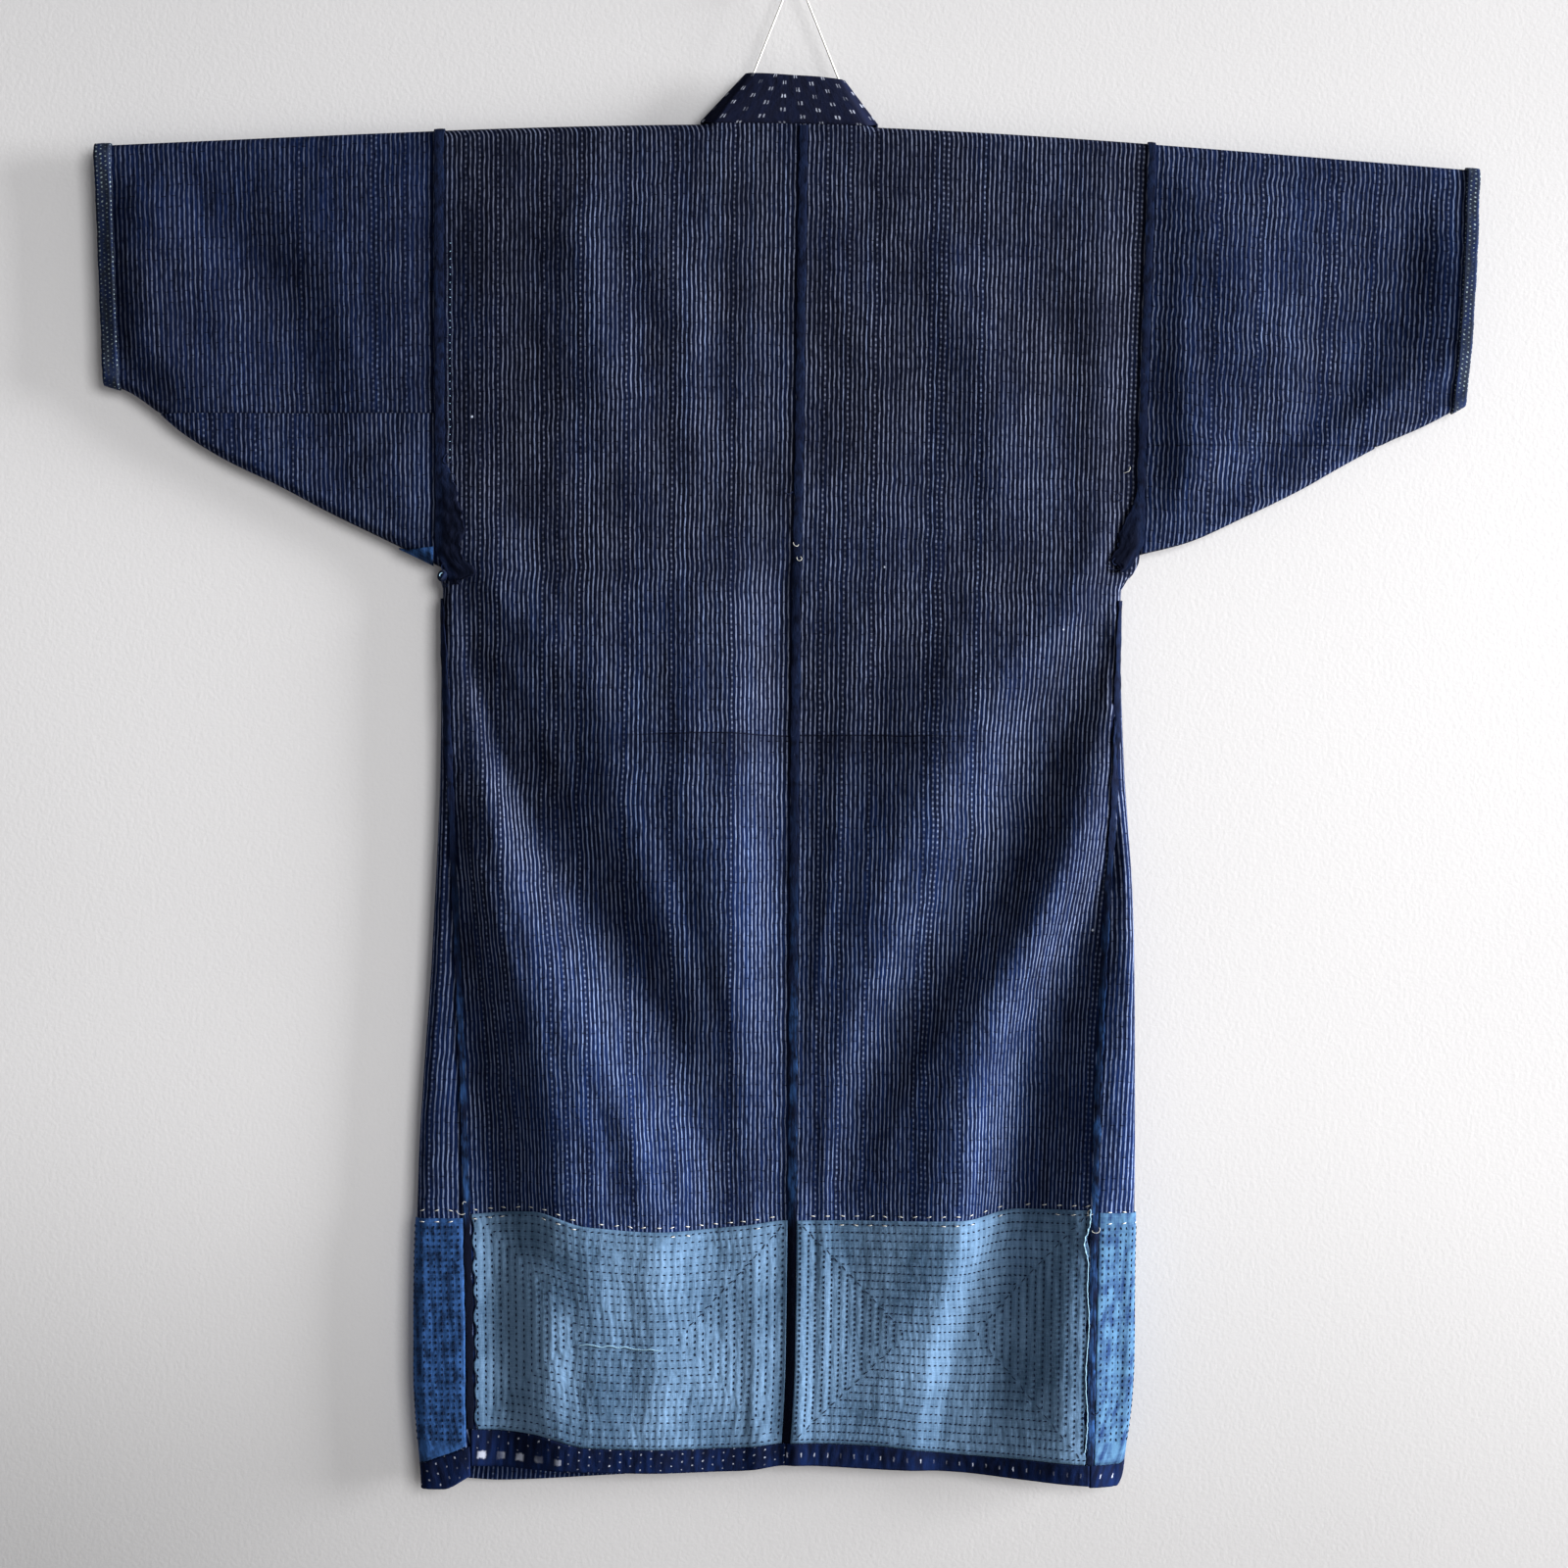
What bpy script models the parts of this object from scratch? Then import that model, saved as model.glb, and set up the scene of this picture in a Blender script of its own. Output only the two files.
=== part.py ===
"""A patched boro work robe hung flat on a rod, as the pieces that a maker cuts and sews.

Sizes are in metres and +Z is up. The origin is on the axis of the wall pin that carries the
string. The robe's back faces -Y and its fronts face the wall, so -X is the wearer's left.
"Down" is a height measured below the middle of the shoulder line.
"""
from math import acos, asin, cos, exp, pi, radians, sin, sqrt

import bmesh
import bpy
from mathutils import Vector

NAME = "patched_boro_robe"

# The rod, the string and the pin
PIN_TO_SHOULDER = 0.130    # pin axis to the middle of the shoulder line
LEVEL_OUT = 0.6            # depth at which the cloth's rows no longer follow the shoulders
SHOULDER_SLOPE = 0.0187    # the rod hangs a degree lower on the wearer's right
ROD_BOW = 0.030            # how far the rod's ends sag under the cloth
HALF_SPAN = 0.626          # middle to cuff
ROD_RADIUS = 0.0042
ROD_ENDS = (-0.606, 0.592)
ROD_PLAY = 0.0008          # room between the rod's top and the cloth
STRING_DIAMETER = 0.0018
STRING_STEP = 0.005        # between the points of its route
STRING_ANGLE = radians(21.7)    # each leg of the string from the vertical
PIN_RADIUS = 0.0025
PIN_HEAD_RADIUS = 0.005
PIN_HEAD = 0.0015
PIN_HEAD_FACE = 0.8        # share of the head's radius that is flat
PIN_HEAD_RIM = 0.6         # share of the head's thickness below its rounding
PIN_FRONT = -0.006
WALL = 0.022

# The cloth
CLOTH = 0.002              # two quilted layers
OVERLAY = 0.001            # one layer laid on another
BAND = 0.0024              # the folded collar band
GAP = 0.0003               # between pieces at a seam
FOLD_GAPS = 6              # more gaps where a seam runs along a fold
SELF_GAP = 0.0008          # half the gap where a sleeve meets itself at its foot
BEND = 0.009               # outer radius of the folds at shoulder, side and sleeve edge
QUARTER = BEND * pi / 2    # cloth in a quarter of such a fold
FULLNESS = 0.003           # how far the middle of each panel stands out
FADE = 0.05                # over which folds die away beside an edge
RIDGE_ENDS = 0.2           # share of a fold's length over which it grows and dies
RIDGE_LEAST = 0.35         # share of its height that is left at its ends
NORMAL_STEP = 0.0005       # for measuring which way the cloth faces

# Seams and what covers them
TAPE = 0.0053              # half width of the seam tapes
NARROW_TAPE = 0.0033       # half width of the strip that shows between the patches
NARROWING = (0.955, 0.02)  # where the centre tape narrows, and over what length
SIDE_TAPE = 0.0045
TAPE_LIFT = 0.0007
SCRAP_LIFT = 0.0010
NECK = {-1: 0.085, 1: 0.075}           # neck corner from the middle, wearer's left and right
NECK_EASE = 0.014                      # over which the neck edge leaves the shoulder fold
NECK_GAP = 0.0013                      # between the neck edge and the band that stands on it
CORNER_GAP = 0.0030                    # the same where the band turns the neck's corner
FRONT_FOOT = {-1: 0.153, 1: 0.134}     # collar seam from the middle, at the hem
FRONT_PARTING = 1.4                    # how late on its way down each front swings aside
HEM = 1.216
UNDERARM = {-1: 0.397, 1: 0.386}
UNDERARM_CLOSE = 0.018                 # over which the armhole closes into the side seam
GUSSET_SEAM = {-1: 0.259, 1: 0.289}
TIP_DEPTH = 0.002                      # of the gusset at its outer tip
TIP_STEPS = 400
CUFF_TOP = {-1: (0.628, 0.019), 1: (0.614, 0.041)}     # from the middle, down
CUFF_FOOT = {-1: (0.6195, 0.232), 1: (0.601, 0.251)}
CUFF_BAND = {-1: 0.016, 1: 0.013}
SCRAP_LONG = 0.038                     # blue scrap at the left underarm
SCRAP_TALL = 0.020
SCRAP_TIP = 0.0015
SCRAP_START = 0.02                     # share of the sleeve between it and the armhole
ARMHOLE_TAPE_END = 0.012               # above the underarm
SLEEVE_LEVEL = 0.1                     # where a sleeve's length is measured
NOMINAL_ROWS = {"patch": 0.978, "band": 1.185, "hem": 1.210}

MERGE = 0.00003
SIDE_NAMES = {-1: "left", 1: "right"}


class Table:
    """Rows of sizes under named columns, read smoothly by the value in the first column."""

    def __init__(self, columns, rows):
        self.columns = columns.split()
        self.rows = rows

    def read(self, column, at):
        """Give a column's value, by a cubic that never overshoots its rows."""
        keys = [row[0] for row in self.rows]
        values = [row[self.columns.index(column)] for row in self.rows]
        if at <= keys[0]:
            return values[0]
        if at >= keys[-1]:
            return values[-1]
        pieces = range(len(keys) - 1)
        rise = [(values[i + 1] - values[i]) / (keys[i + 1] - keys[i]) for i in pieces]
        slopes = [rise[0]]
        for before, after in zip(rise, rise[1:]):
            same_way = before * after > 0
            slopes.append(2 * before * after / (before + after) if same_way else 0.0)
        slopes.append(rise[-1])
        i = max(k for k in pieces if keys[k] <= at)
        step = keys[i + 1] - keys[i]
        t = (at - keys[i]) / step
        return (values[i] * (1 + 2 * t) * (1 - t) ** 2
                + values[i + 1] * t * t * (3 - 2 * t)
                + step * slopes[i] * t * (1 - t) ** 2
                + step * slopes[i + 1] * t * t * (t - 1))


# The body's outline: how far each side lies from the middle, how far the side seam has moved
# from the side fold onto the back, and the centre seam.
BODY = Table("down left_edge right_edge left_inset right_inset centre", [
    (0.000, 0.327, 0.329, 0.000, 0.000, 0.008),
    (0.133, 0.327, 0.324, 0.000, 0.000, 0.006),
    (0.344, 0.326, 0.318, 0.000, 0.000, 0.003),
    (0.386, 0.326, 0.3175, 0.000, 0.000, 0.002),
    (0.397, 0.325, 0.306, 0.000, 0.000, 0.002),
    (0.415, 0.316, 0.293, 0.000, 0.001, 0.001),
    (0.450, 0.317, 0.292, 0.002, 0.002, 0.001),
    (0.560, 0.318, 0.295, 0.008, 0.008, 0.000),
    (0.730, 0.325, 0.304, 0.022, 0.026, -0.001),
    (0.940, 0.338, 0.304, 0.043, 0.036, -0.002),
    (1.110, 0.341, 0.303, 0.050, 0.039, -0.004),
    (1.216, 0.334, 0.292, 0.044, 0.030, -0.010),
])

# Where each sleeve's lower edge lies, from the armhole (0) out to the cuff (1).
SLEEVE = Table("out left_foot right_foot", [
    (0.00, 0.397, 0.386),
    (0.15, 0.375, 0.375),
    (0.33, 0.349, 0.352),
    (0.50, 0.322, 0.328),
    (0.65, 0.300, 0.303),
    (0.78, 0.275, 0.283),
    (0.86, 0.254, 0.273),
    (0.94, 0.238, 0.261),
    (1.00, 0.232, 0.251),
])

# Levels across the back, from the left side seam to the right one.
BACK_LEVELS = Table("across patch_top band_top hem", [
    (-0.292, 0.977, 1.168, 1.201),
    (-0.235, 0.973, 1.172, 1.204),
    (-0.185, 0.986, 1.184, 1.206),
    (-0.115, 0.991, 1.186, 1.207),
    (-0.050, 0.987, 1.185, 1.206),
    (-0.005, 0.982, 1.181, 1.201),
    (0.067, 0.982, 1.183, 1.204),
    (0.150, 0.981, 1.192, 1.208),
    (0.200, 0.972, 1.194, 1.212),
    (0.263, 0.971, 1.198, 1.215),
])

# Levels of each front, from the collar seam (0) to the side fold (1) and round to the side
# seam on the back (2).
FRONT_LEVELS = {
    -1: Table("round patch_top band_top hem", [
        (0.0, 0.981, 1.188, 1.213),
        (0.6, 0.983, 1.192, 1.218),
        (0.9, 0.981, 1.194, 1.214),
        (1.0, 0.980, 1.199, 1.222),
        (1.5, 0.980, 1.192, 1.222),
        (2.0, 0.980, 1.183, 1.210),
    ]),
    1: Table("round patch_top band_top hem", [
        (0.0, 0.977, 1.186, 1.204),
        (0.6, 0.975, 1.188, 1.206),
        (1.0, 0.974, 1.194, 1.208),
        (1.3, 0.974, 1.199, 1.220),
        (2.0, 0.973, 1.198, 1.221),
    ]),
}

# The largest folds: a ridge runs from its head over its bend to its foot.
RIDGES = "head_x head_down bend_x bend_down foot_x foot_down width height"
BACK_FOLDS = Table(RIDGES, [
    (-0.296, 0.635, -0.225, 0.767, -0.115, 0.961, 0.040, 0.009),
    (-0.265, 0.442, -0.150, 0.583, -0.045, 0.776, 0.042, 0.007),
    (0.237, 0.468, 0.131, 0.591, 0.034, 0.732, 0.036, 0.006),
    (0.276, 0.539, 0.202, 0.741, 0.087, 0.970, 0.036, 0.009),
    (-0.185, 0.060, -0.130, 0.200, -0.120, 0.350, 0.030, 0.003),
    (0.120, 0.080, 0.175, 0.230, 0.190, 0.360, 0.032, 0.003),
    (-0.210, 1.000, -0.185, 1.080, -0.175, 1.200, 0.045, 0.005),
    (0.150, 0.990, 0.140, 1.080, 0.120, 1.200, 0.050, 0.004),
    (-0.555, 0.080, -0.500, 0.160, -0.430, 0.250, 0.032, 0.003),
    (-0.400, 0.060, -0.395, 0.160, -0.380, 0.280, 0.030, 0.003),
    (0.385, 0.090, 0.430, 0.190, 0.450, 0.260, 0.034, 0.003),
    (0.500, 0.080, 0.530, 0.140, 0.545, 0.200, 0.030, 0.003),
])
FRONT_FOLDS = Table(RIDGES, [
    (-0.290, 0.480, -0.240, 0.700, -0.220, 1.000, 0.045, 0.004),
    (-0.160, 0.100, -0.180, 0.500, -0.170, 0.900, 0.050, 0.003),
    (0.265, 0.470, 0.220, 0.680, 0.200, 1.050, 0.045, 0.004),
    (0.150, 0.120, 0.165, 0.450, 0.150, 0.850, 0.050, 0.003),
])

# Where the collar's free edge lies beside each station of its seam: first along the back of
# the neck, then over the shoulder fold, then down the front until the band hangs straight.
COLLAR = {
    -1: Table("station seam free_x free_y free_z", [
        (0, 0.030, -0.016, -0.0068, -0.0850),
        (1, 0.055, -0.0290, -0.0066, -0.0843),
        (2, 0.071, -0.0380, -0.0060, -0.0840),
        (3, 0.080, -0.0425, -0.0040, -0.0838),
        (4, 90.0, -0.0448, 0.0000, -0.0838),
        (5, 120.0, -0.0445, 0.0030, -0.0870),
        (6, 150.0, -0.0438, 0.0062, -0.0930),
        (7, 180.0, -0.0430, 0.0084, -0.1030),
        (8, 0.030, -0.0420, 0.0088, -0.1280),
        (9, 0.060, -0.0415, 0.0090, -0.1660),
    ]),
    1: Table("station seam free_x free_y free_z", [
        (0, 0.030, 0.018, -0.0068, -0.0872),
        (1, 0.050, 0.0300, -0.0066, -0.0884),
        (2, 0.063, 0.0385, -0.0060, -0.0893),
        (3, 0.071, 0.0430, -0.0040, -0.0898),
        (4, 90.0, 0.0452, 0.0000, -0.0900),
        (5, 120.0, 0.0449, 0.0030, -0.0930),
        (6, 150.0, 0.0442, 0.0062, -0.0990),
        (7, 180.0, 0.0434, 0.0084, -0.1080),
        (8, 0.030, 0.0415, 0.0088, -0.1310),
        (9, 0.060, 0.0390, 0.0090, -0.1680),
    ]),
}
COLLAR_COLUMNS = ("seam", "free_x", "free_y", "free_z")
COLLAR_MIDDLE = (0.000, -0.0070, -0.0862)
COLLAR_WIDTH = 0.045
COLLAR_FRONT_ROWS = (0.10, 0.16, 0.24, 0.34, 0.46, 0.58, 0.70, 0.82, 0.94, 1.05, 1.13, 1.205)

# Rows and columns of the cloth
BEND_ANGLES = (30, 60, 90, 120, 150)
ABOVE_UNDERARM = (0.08, 0.2, 0.36, 0.52, 0.68, 0.84, 0.95)   # shares of the armhole's depth
BELOW_UNDERARM = (0.424, 0.46, 0.52, 0.58, 0.64, 0.70, 0.76, 0.82, 0.88, 0.94)
PATCH_ROWS = (0.33, 0.67)
NECK_COLUMNS = (0.5,)
SHOULDER_COLUMNS = (0.0, 0.16, 0.33, 0.50, 0.67, 0.84)
WRAP_COLUMNS = (0.2, 0.4, 0.6, 0.8)
GUSSET_COLUMNS = (0.0, 0.17, 0.34, 0.51, 0.68, 0.84, 1.0)    # shares of the gusset's length
SLEEVE_ROWS = (0.2, 0.4, 0.6, 0.8)
EDGE_ROWS = (0.0, 0.34, 0.67, 1.0)     # shares of a quarter fold
GUSSET_ROWS = (0.0, 0.5)


def smooth(value):
    """Ease from 0 to 1."""
    value = min(max(value, 0.0), 1.0)
    return value * value * (3 - 2 * value)


def mix(start, end, share):
    return start + (end - start) * share


def side_column(side, name):
    return SIDE_NAMES[side] + "_" + name


def shoulder_top(x):
    """Height of the shoulder line: a level rod, bowed like a loaded beam, then tipped."""
    share = min(abs(x) / HALF_SPAN, 1.0)
    bow = share ** 2 * (6 - 4 * share + share ** 2) / 3
    return -PIN_TO_SHOULDER - SHOULDER_SLOPE * x - ROD_BOW * bow


def row_shift(x, down):
    """The cloth's rows follow the shoulder line at the top, and level out lower down."""
    return (shoulder_top(x) + PIN_TO_SHOULDER) * (1 - smooth(down / LEVEL_OUT))


def height(x, down):
    return -PIN_TO_SHOULDER - down + row_shift(x, down)


def down_at(x, z):
    """The row that lies at a height: the other way round from height()."""
    down = -PIN_TO_SHOULDER - z
    for _ in range(3):
        down = -PIN_TO_SHOULDER - z + row_shift(x, down)
    return down


def ridge(fold, x, down):
    """Height that one fold adds at a point, by its distance from the fold's crest."""
    head_x, head_down, bend_x, bend_down, foot_x, foot_down, width, tall = fold
    best = 1.0
    share_there = 0.0
    legs = (((head_x, head_down), (bend_x, bend_down), 0.0),
            ((bend_x, bend_down), (foot_x, foot_down), 0.5))
    for (start_x, start_down), (end_x, end_down), share in legs:
        run_x = end_x - start_x
        run_down = end_down - start_down
        along = ((x - start_x) * run_x + (down - start_down) * run_down) / (run_x ** 2 + run_down ** 2)
        along = min(max(along, 0.0), 1.0)
        away = sqrt((x - start_x - along * run_x) ** 2 + (down - start_down - along * run_down) ** 2)
        if away < best:
            best = away
            share_there = share + along / 2
    strength = smooth(share_there / RIDGE_ENDS) * smooth((1 - share_there) / RIDGE_ENDS)
    return tall * mix(RIDGE_LEAST, 1.0, strength) * exp(-(best / width) ** 2)


def fullness(folds, x, down, from_edge):
    """How far a panel stands out beyond its flat place."""
    room = smooth(from_edge / FADE) * smooth((down - BEND) / (2 * FADE))
    return room * (FULLNESS + sum(ridge(fold, x, down) for fold in folds.rows))


def lifted(place, first, second, lift, outward):
    """A point of a surface moved out along the surface's own normal."""
    point = place(first, second)
    if not lift:
        return point
    along = place(first + NORMAL_STEP, second) - place(first - NORMAL_STEP, second)
    across = place(first, second + NORMAL_STEP) - place(first, second - NORMAL_STEP)
    normal = along.cross(across).normalized()
    return point + normal * (lift if normal.dot(outward(point)) > 0 else -lift)


# The body -----------------------------------------------------------------------------------

def edge_inset(around):
    """How far in from the side fold a point lies that is so far around from it."""
    if abs(around) < QUARTER:
        return BEND * (1 - cos(around / BEND))
    return BEND + abs(around) - QUARTER


def around_from_inset(inset):
    if inset < BEND:
        return BEND * acos(1 - inset / BEND)
    return QUARTER + inset - BEND


def body_place(side, around, down):
    """A point of the body's skin, so far around from the side fold: + is the back."""
    edge = BODY.read(side_column(side, "edge"), down)
    x = side * (edge - edge_inset(around))
    if abs(around) < QUARTER:
        y = -BEND * sin(around / BEND)
    else:
        folds = BACK_FOLDS if around > 0 else FRONT_FOLDS
        y = BEND + fullness(folds, x, down, abs(around) - QUARTER)
        if around > 0:
            y = -y
    return Vector((x, y, height(x, down)))


def body_skin(side, around, down, lift=0.0):
    def outward(point):
        return Vector((side * (1.0 if abs(around) < QUARTER else 0.0), point.y * 100, 0))
    return lifted(lambda a, d: body_place(side, a, d), around, down, lift, outward)


def armhole_open(side, down):
    return 1 - smooth((down - UNDERARM[side]) / UNDERARM_CLOSE)


def seam_around(side, down):
    return around_from_inset(BODY.read(side_column(side, "inset"), down))


def back_edge(side, down):
    """Where the back ends: at the armhole, then at the side seam."""
    return mix(seam_around(side, down) + GAP / 2, QUARTER, armhole_open(side, down))


def front_edge(side, down):
    """Where the front ends: at the armhole, then round at the side seam on the back."""
    return mix(seam_around(side, down) - GAP / 2, -QUARTER, armhole_open(side, down))


def centre_around(side, down):
    """The centre seam, measured around from the side fold."""
    edge = BODY.read(side_column(side, "edge"), down)
    inset = edge - side * BODY.read("centre", down) - GAP / 2
    return QUARTER + inset - BEND


def front_x(side, down):
    """How far the collar seam lies from the middle: the fronts part a little as they hang."""
    return NECK[side] + (FRONT_FOOT[side] - NECK[side]) * max(down / HEM, 0.0) ** FRONT_PARTING


def front_around(side, down):
    """The collar seam of the front, measured around from the side fold."""
    inset = BODY.read(side_column(side, "edge"), down) - front_x(side, down) - GAP
    return -(QUARTER + inset - BEND)


def tape_half(down):
    return mix(TAPE, NARROW_TAPE, smooth((down - NARROWING[0]) / NARROWING[1]))


def neck_share(side):
    """Share of the back's width that lies inside the neck."""
    centre = side * BODY.read("centre", 0.0)
    arm = BODY.read(side_column(side, "edge"), 0.0) - BEND
    return (NECK[side] - centre) / (arm - centre)


def back_around(side, column, down):
    """Place of one of the body's columns on the back."""
    zone, share = column
    centre = centre_around(side, down)
    tape = centre - tape_half(down)
    edge = back_edge(side, down)
    neck = mix(centre, edge, neck_share(side))
    places = {
        "seam": centre,
        "tape": tape,
        "neck": mix(tape, neck, share),
        "shoulder": mix(neck, edge + SIDE_TAPE, share),
    }
    return places.get(zone, edge)


def front_place_around(side, column, down):
    """Place of one of the body's columns on the front and round onto the back."""
    zone, share = column
    seam = front_around(side, down)
    end = front_edge(side, down)
    rim = end - SIDE_TAPE * (1 - armhole_open(side, down))
    places = {
        "shoulder": mix(seam, -QUARTER - SIDE_TAPE, share),
        "edge": -QUARTER,
        "wrap": mix(-QUARTER, rim, share),
        "rim": rim,
        "end": end,
    }
    return places.get(zone, seam)


def nominal_down(side, level):
    """Depth of a row before the hem's own lines bend it."""
    kind, value = level
    if kind == "arm":
        return mix(BEND, UNDERARM[side], value)
    if kind == "under":
        return UNDERARM[side] + value * UNDERARM_CLOSE
    if kind == "body":
        return value
    return NOMINAL_ROWS[kind]


def level_down(side, level, face, around_at):
    """Depth of a row at one column; the patch, band and hem rows follow their tables."""
    kind, value = level
    down = nominal_down(side, level)
    if kind in ("arm", "under", "body"):
        return down
    around = around_at(down)
    if face == "back":
        table = BACK_LEVELS
        place = body_place(side, around, down).x
    else:
        table = FRONT_LEVELS[side]
        whole = front_edge(side, down) if around > 0 else -front_around(side, down)
        place = 1 + around / whole
    top = table.read("patch_top", place)
    band = table.read("band_top", place)
    hem = table.read("hem", place)
    if kind == "patch":
        return mix(top, band, value)
    if kind == "band":
        return band + value
    return hem


def body_point(side, column, station, lift=0.0):
    """A point of a body length, from the back hem over the shoulder to the front hem."""
    face, level = station
    if face == "bend":
        return shoulder_bend(side, column, level, lift)
    around_of = back_around if face == "back" else front_place_around

    def around_at(down):
        return around_of(side, column, down)
    down = level_down(side, level, face, around_at)
    return body_skin(side, around_at(down), down, lift)


def shoulder_bend(side, column, angle, lift=0.0):
    """A point of the fold over the rod; inside the neck the cloth stands up instead."""
    back = body_place(side, back_around(side, column, BEND), BEND).x
    front = body_place(side, front_place_around(side, column, BEND), BEND).x
    x = back if column[0] in ("seam", "tape", "neck") else mix(back, front, angle / 180)
    turn = radians(angle)
    ease = smooth((NECK[side] - side * x) / NECK_EASE) if angle <= 90 else 0.0
    radius = BEND + lift
    y = -radius * mix(cos(turn), 1.0, ease)
    return Vector((x, y, shoulder_top(x) - BEND + radius * sin(turn)))


BACK_LEVEL_ROWS = (
    [("arm", share) for share in (0.0,) + ABOVE_UNDERARM]
    + [("under", share) for share in (0.0, 0.5, 1.0)]
    + [("body", down) for down in BELOW_UNDERARM]
    + [("patch", share) for share in (0.0,) + PATCH_ROWS]
    + [("band", 0.0), ("hem", 0.0)]
)
FRONT_LEVEL_ROWS = (
    [("arm", share) for share in (0.0,) + ABOVE_UNDERARM[1::2]]
    + [("under", share) for share in (-0.5, 0.0, 0.5, 1.0)]
    + [("body", down) for down in BELOW_UNDERARM[:1] + BELOW_UNDERARM[2::2]]
    + [("patch", 0.0), ("patch", 0.5), ("band", 0.0), ("hem", 0.0)]
)
BODY_STATIONS = (
    [("back", level) for level in reversed(BACK_LEVEL_ROWS)]
    + [("bend", angle) for angle in BEND_ANGLES]
    + [("front", level) for level in FRONT_LEVEL_ROWS]
)
INNER_COLUMNS = [("seam", 0), ("tape", 0)] + [("neck", share) for share in NECK_COLUMNS]
OUTER_COLUMNS = [("shoulder", share) for share in SHOULDER_COLUMNS + (1.0,)] + [("edge", 0)]
ROUND_COLUMNS = [("wrap", share) for share in WRAP_COLUMNS] + [("rim", 0), ("end", 0)]
BODY_COLUMNS = INNER_COLUMNS + OUTER_COLUMNS + ROUND_COLUMNS


# The sleeves --------------------------------------------------------------------------------

def cuff_x(side, down):
    (top_x, top_down), (foot_x, foot_down) = CUFF_TOP[side], CUFF_FOOT[side]
    return side * mix(top_x, foot_x, (down - top_down) / (foot_down - top_down))


def armhole_x(side, down):
    down = min(down, UNDERARM[side] - BEND)
    return side * (BODY.read(side_column(side, "edge"), down) - BEND + 2 * GAP)


def sleeve_length(side):
    return abs(cuff_x(side, SLEEVE_LEVEL) - armhole_x(side, SLEEVE_LEVEL))


def sleeve_section(side, out):
    """Top and foot of the sleeve's flattened ring, and the cloth down one side of it."""
    top = shoulder_top(mix(armhole_x(side, 0.0), cuff_x(side, 0.0), out))
    foot = -PIN_TO_SHOULDER - SLEEVE.read(side_column(side, "foot"), out)
    flat = top - foot - 2 * BEND
    return top, foot, flat


def sleeve_place(side, out, along):
    """A point of the sleeve's skin, so far along its ring from the top: - is the back."""
    top, foot, flat = sleeve_section(side, out)
    reach = abs(along)
    if reach < QUARTER:
        turn = reach / BEND
        depth = BEND * sin(turn)
        z = top - BEND + BEND * cos(turn)
    elif reach < QUARTER + flat:
        depth = BEND
        z = top - BEND - (reach - QUARTER)
    else:
        turn = (reach - QUARTER - flat) / BEND
        depth = BEND * cos(turn)
        z = foot + BEND - BEND * sin(turn)
    arm = armhole_x(side, down_at(armhole_x(side, 0.0), z))
    cuff = cuff_x(side, -PIN_TO_SHOULDER - z)
    x = mix(arm, cuff, out)
    down = down_at(x, z)
    if QUARTER <= reach < QUARTER + flat:
        edge = min(reach - QUARTER, QUARTER + flat - reach, abs(x - arm), abs(x - cuff))
        folds = BACK_FOLDS if along < 0 else FRONT_FOLDS
        depth += sleeve_fullness(folds, x, down, edge)
    return Vector((x, depth if along > 0 else -depth, z))


def sleeve_fullness(folds, x, down, edge):
    room = smooth(edge / FADE)
    return room * (FULLNESS + sum(ridge(fold, x, down) for fold in folds.rows))


def sleeve_skin(side, out, along, lift=0.0):
    top, foot, flat = sleeve_section(side, out)
    middle = top - BEND - flat / 2

    def outward(point):
        on_arc = not QUARTER <= abs(along) < QUARTER + flat
        return Vector((0, point.y * 100, (point.z - middle) if on_arc else 0))
    return lifted(lambda o, a: sleeve_place(side, o, a), out, along, lift, outward)


def sleeve_half_ring(side, out):
    return 2 * QUARTER + sleeve_section(side, out)[2]


def seam_on_fold(side, out):
    """How far the gusset's seam has come onto the sleeve's lower fold: 1 is its very edge."""
    foot = sleeve_section(side, out)[1]
    seam = -PIN_TO_SHOULDER - GUSSET_SEAM[side]
    return min(max((foot + BEND - seam) / BEND, 0.0), 1.0)


def gusset_reach(side, out):
    """Cloth from the top of the ring down to the gusset's seam, or to the foot past it."""
    top, foot, flat = sleeve_section(side, out)
    whole = 2 * QUARTER + flat - SELF_GAP
    on_fold = seam_on_fold(side, out)
    if on_fold > 0:
        return min(whole, QUARTER + flat + BEND * asin(on_fold))
    return QUARTER + (top - BEND) + PIN_TO_SHOULDER + GUSSET_SEAM[side]


def sleeve_reaches(side, out):
    """Rows of a sleeve's half ring: the shoulder fold, the flat, then the lower edge."""
    end = gusset_reach(side, out)
    low = end - QUARTER
    fold = [QUARTER * share for share in EDGE_ROWS]
    flat = [mix(QUARTER, low, share) for share in SLEEVE_ROWS]
    edge = [mix(low, end, share) for share in EDGE_ROWS]
    return fold + flat + edge


SLEEVE_HALF = list(range(len(EDGE_ROWS) * 2 + len(SLEEVE_ROWS)))
SLEEVE_STATIONS = [(-1, index) for index in reversed(SLEEVE_HALF)] + [(1, index) for index in SLEEVE_HALF[1:]]


def gusset_outs(side):
    tip = gusset_tip(side)
    return [tip * share for share in GUSSET_COLUMNS]


def sleeve_outs(side):
    """Columns of a sleeve from armhole to cuff, past the gusset's tip and the cuff band."""
    shared = gusset_outs(side)
    band = 1 - CUFF_BAND[side] / sleeve_length(side)
    return shared + [mix(shared[-1], band, 0.5), band, 1.0]


def gusset_tip(side):
    """How far out the gusset ends: where its seam meets the sleeve's foot."""
    for step in range(TIP_STEPS):
        out = step / TIP_STEPS
        if SLEEVE.read(side_column(side, "foot"), out) < GUSSET_SEAM[side] + TIP_DEPTH:
            return out
    return 1.0


# Making the solids --------------------------------------------------------------------------

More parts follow.
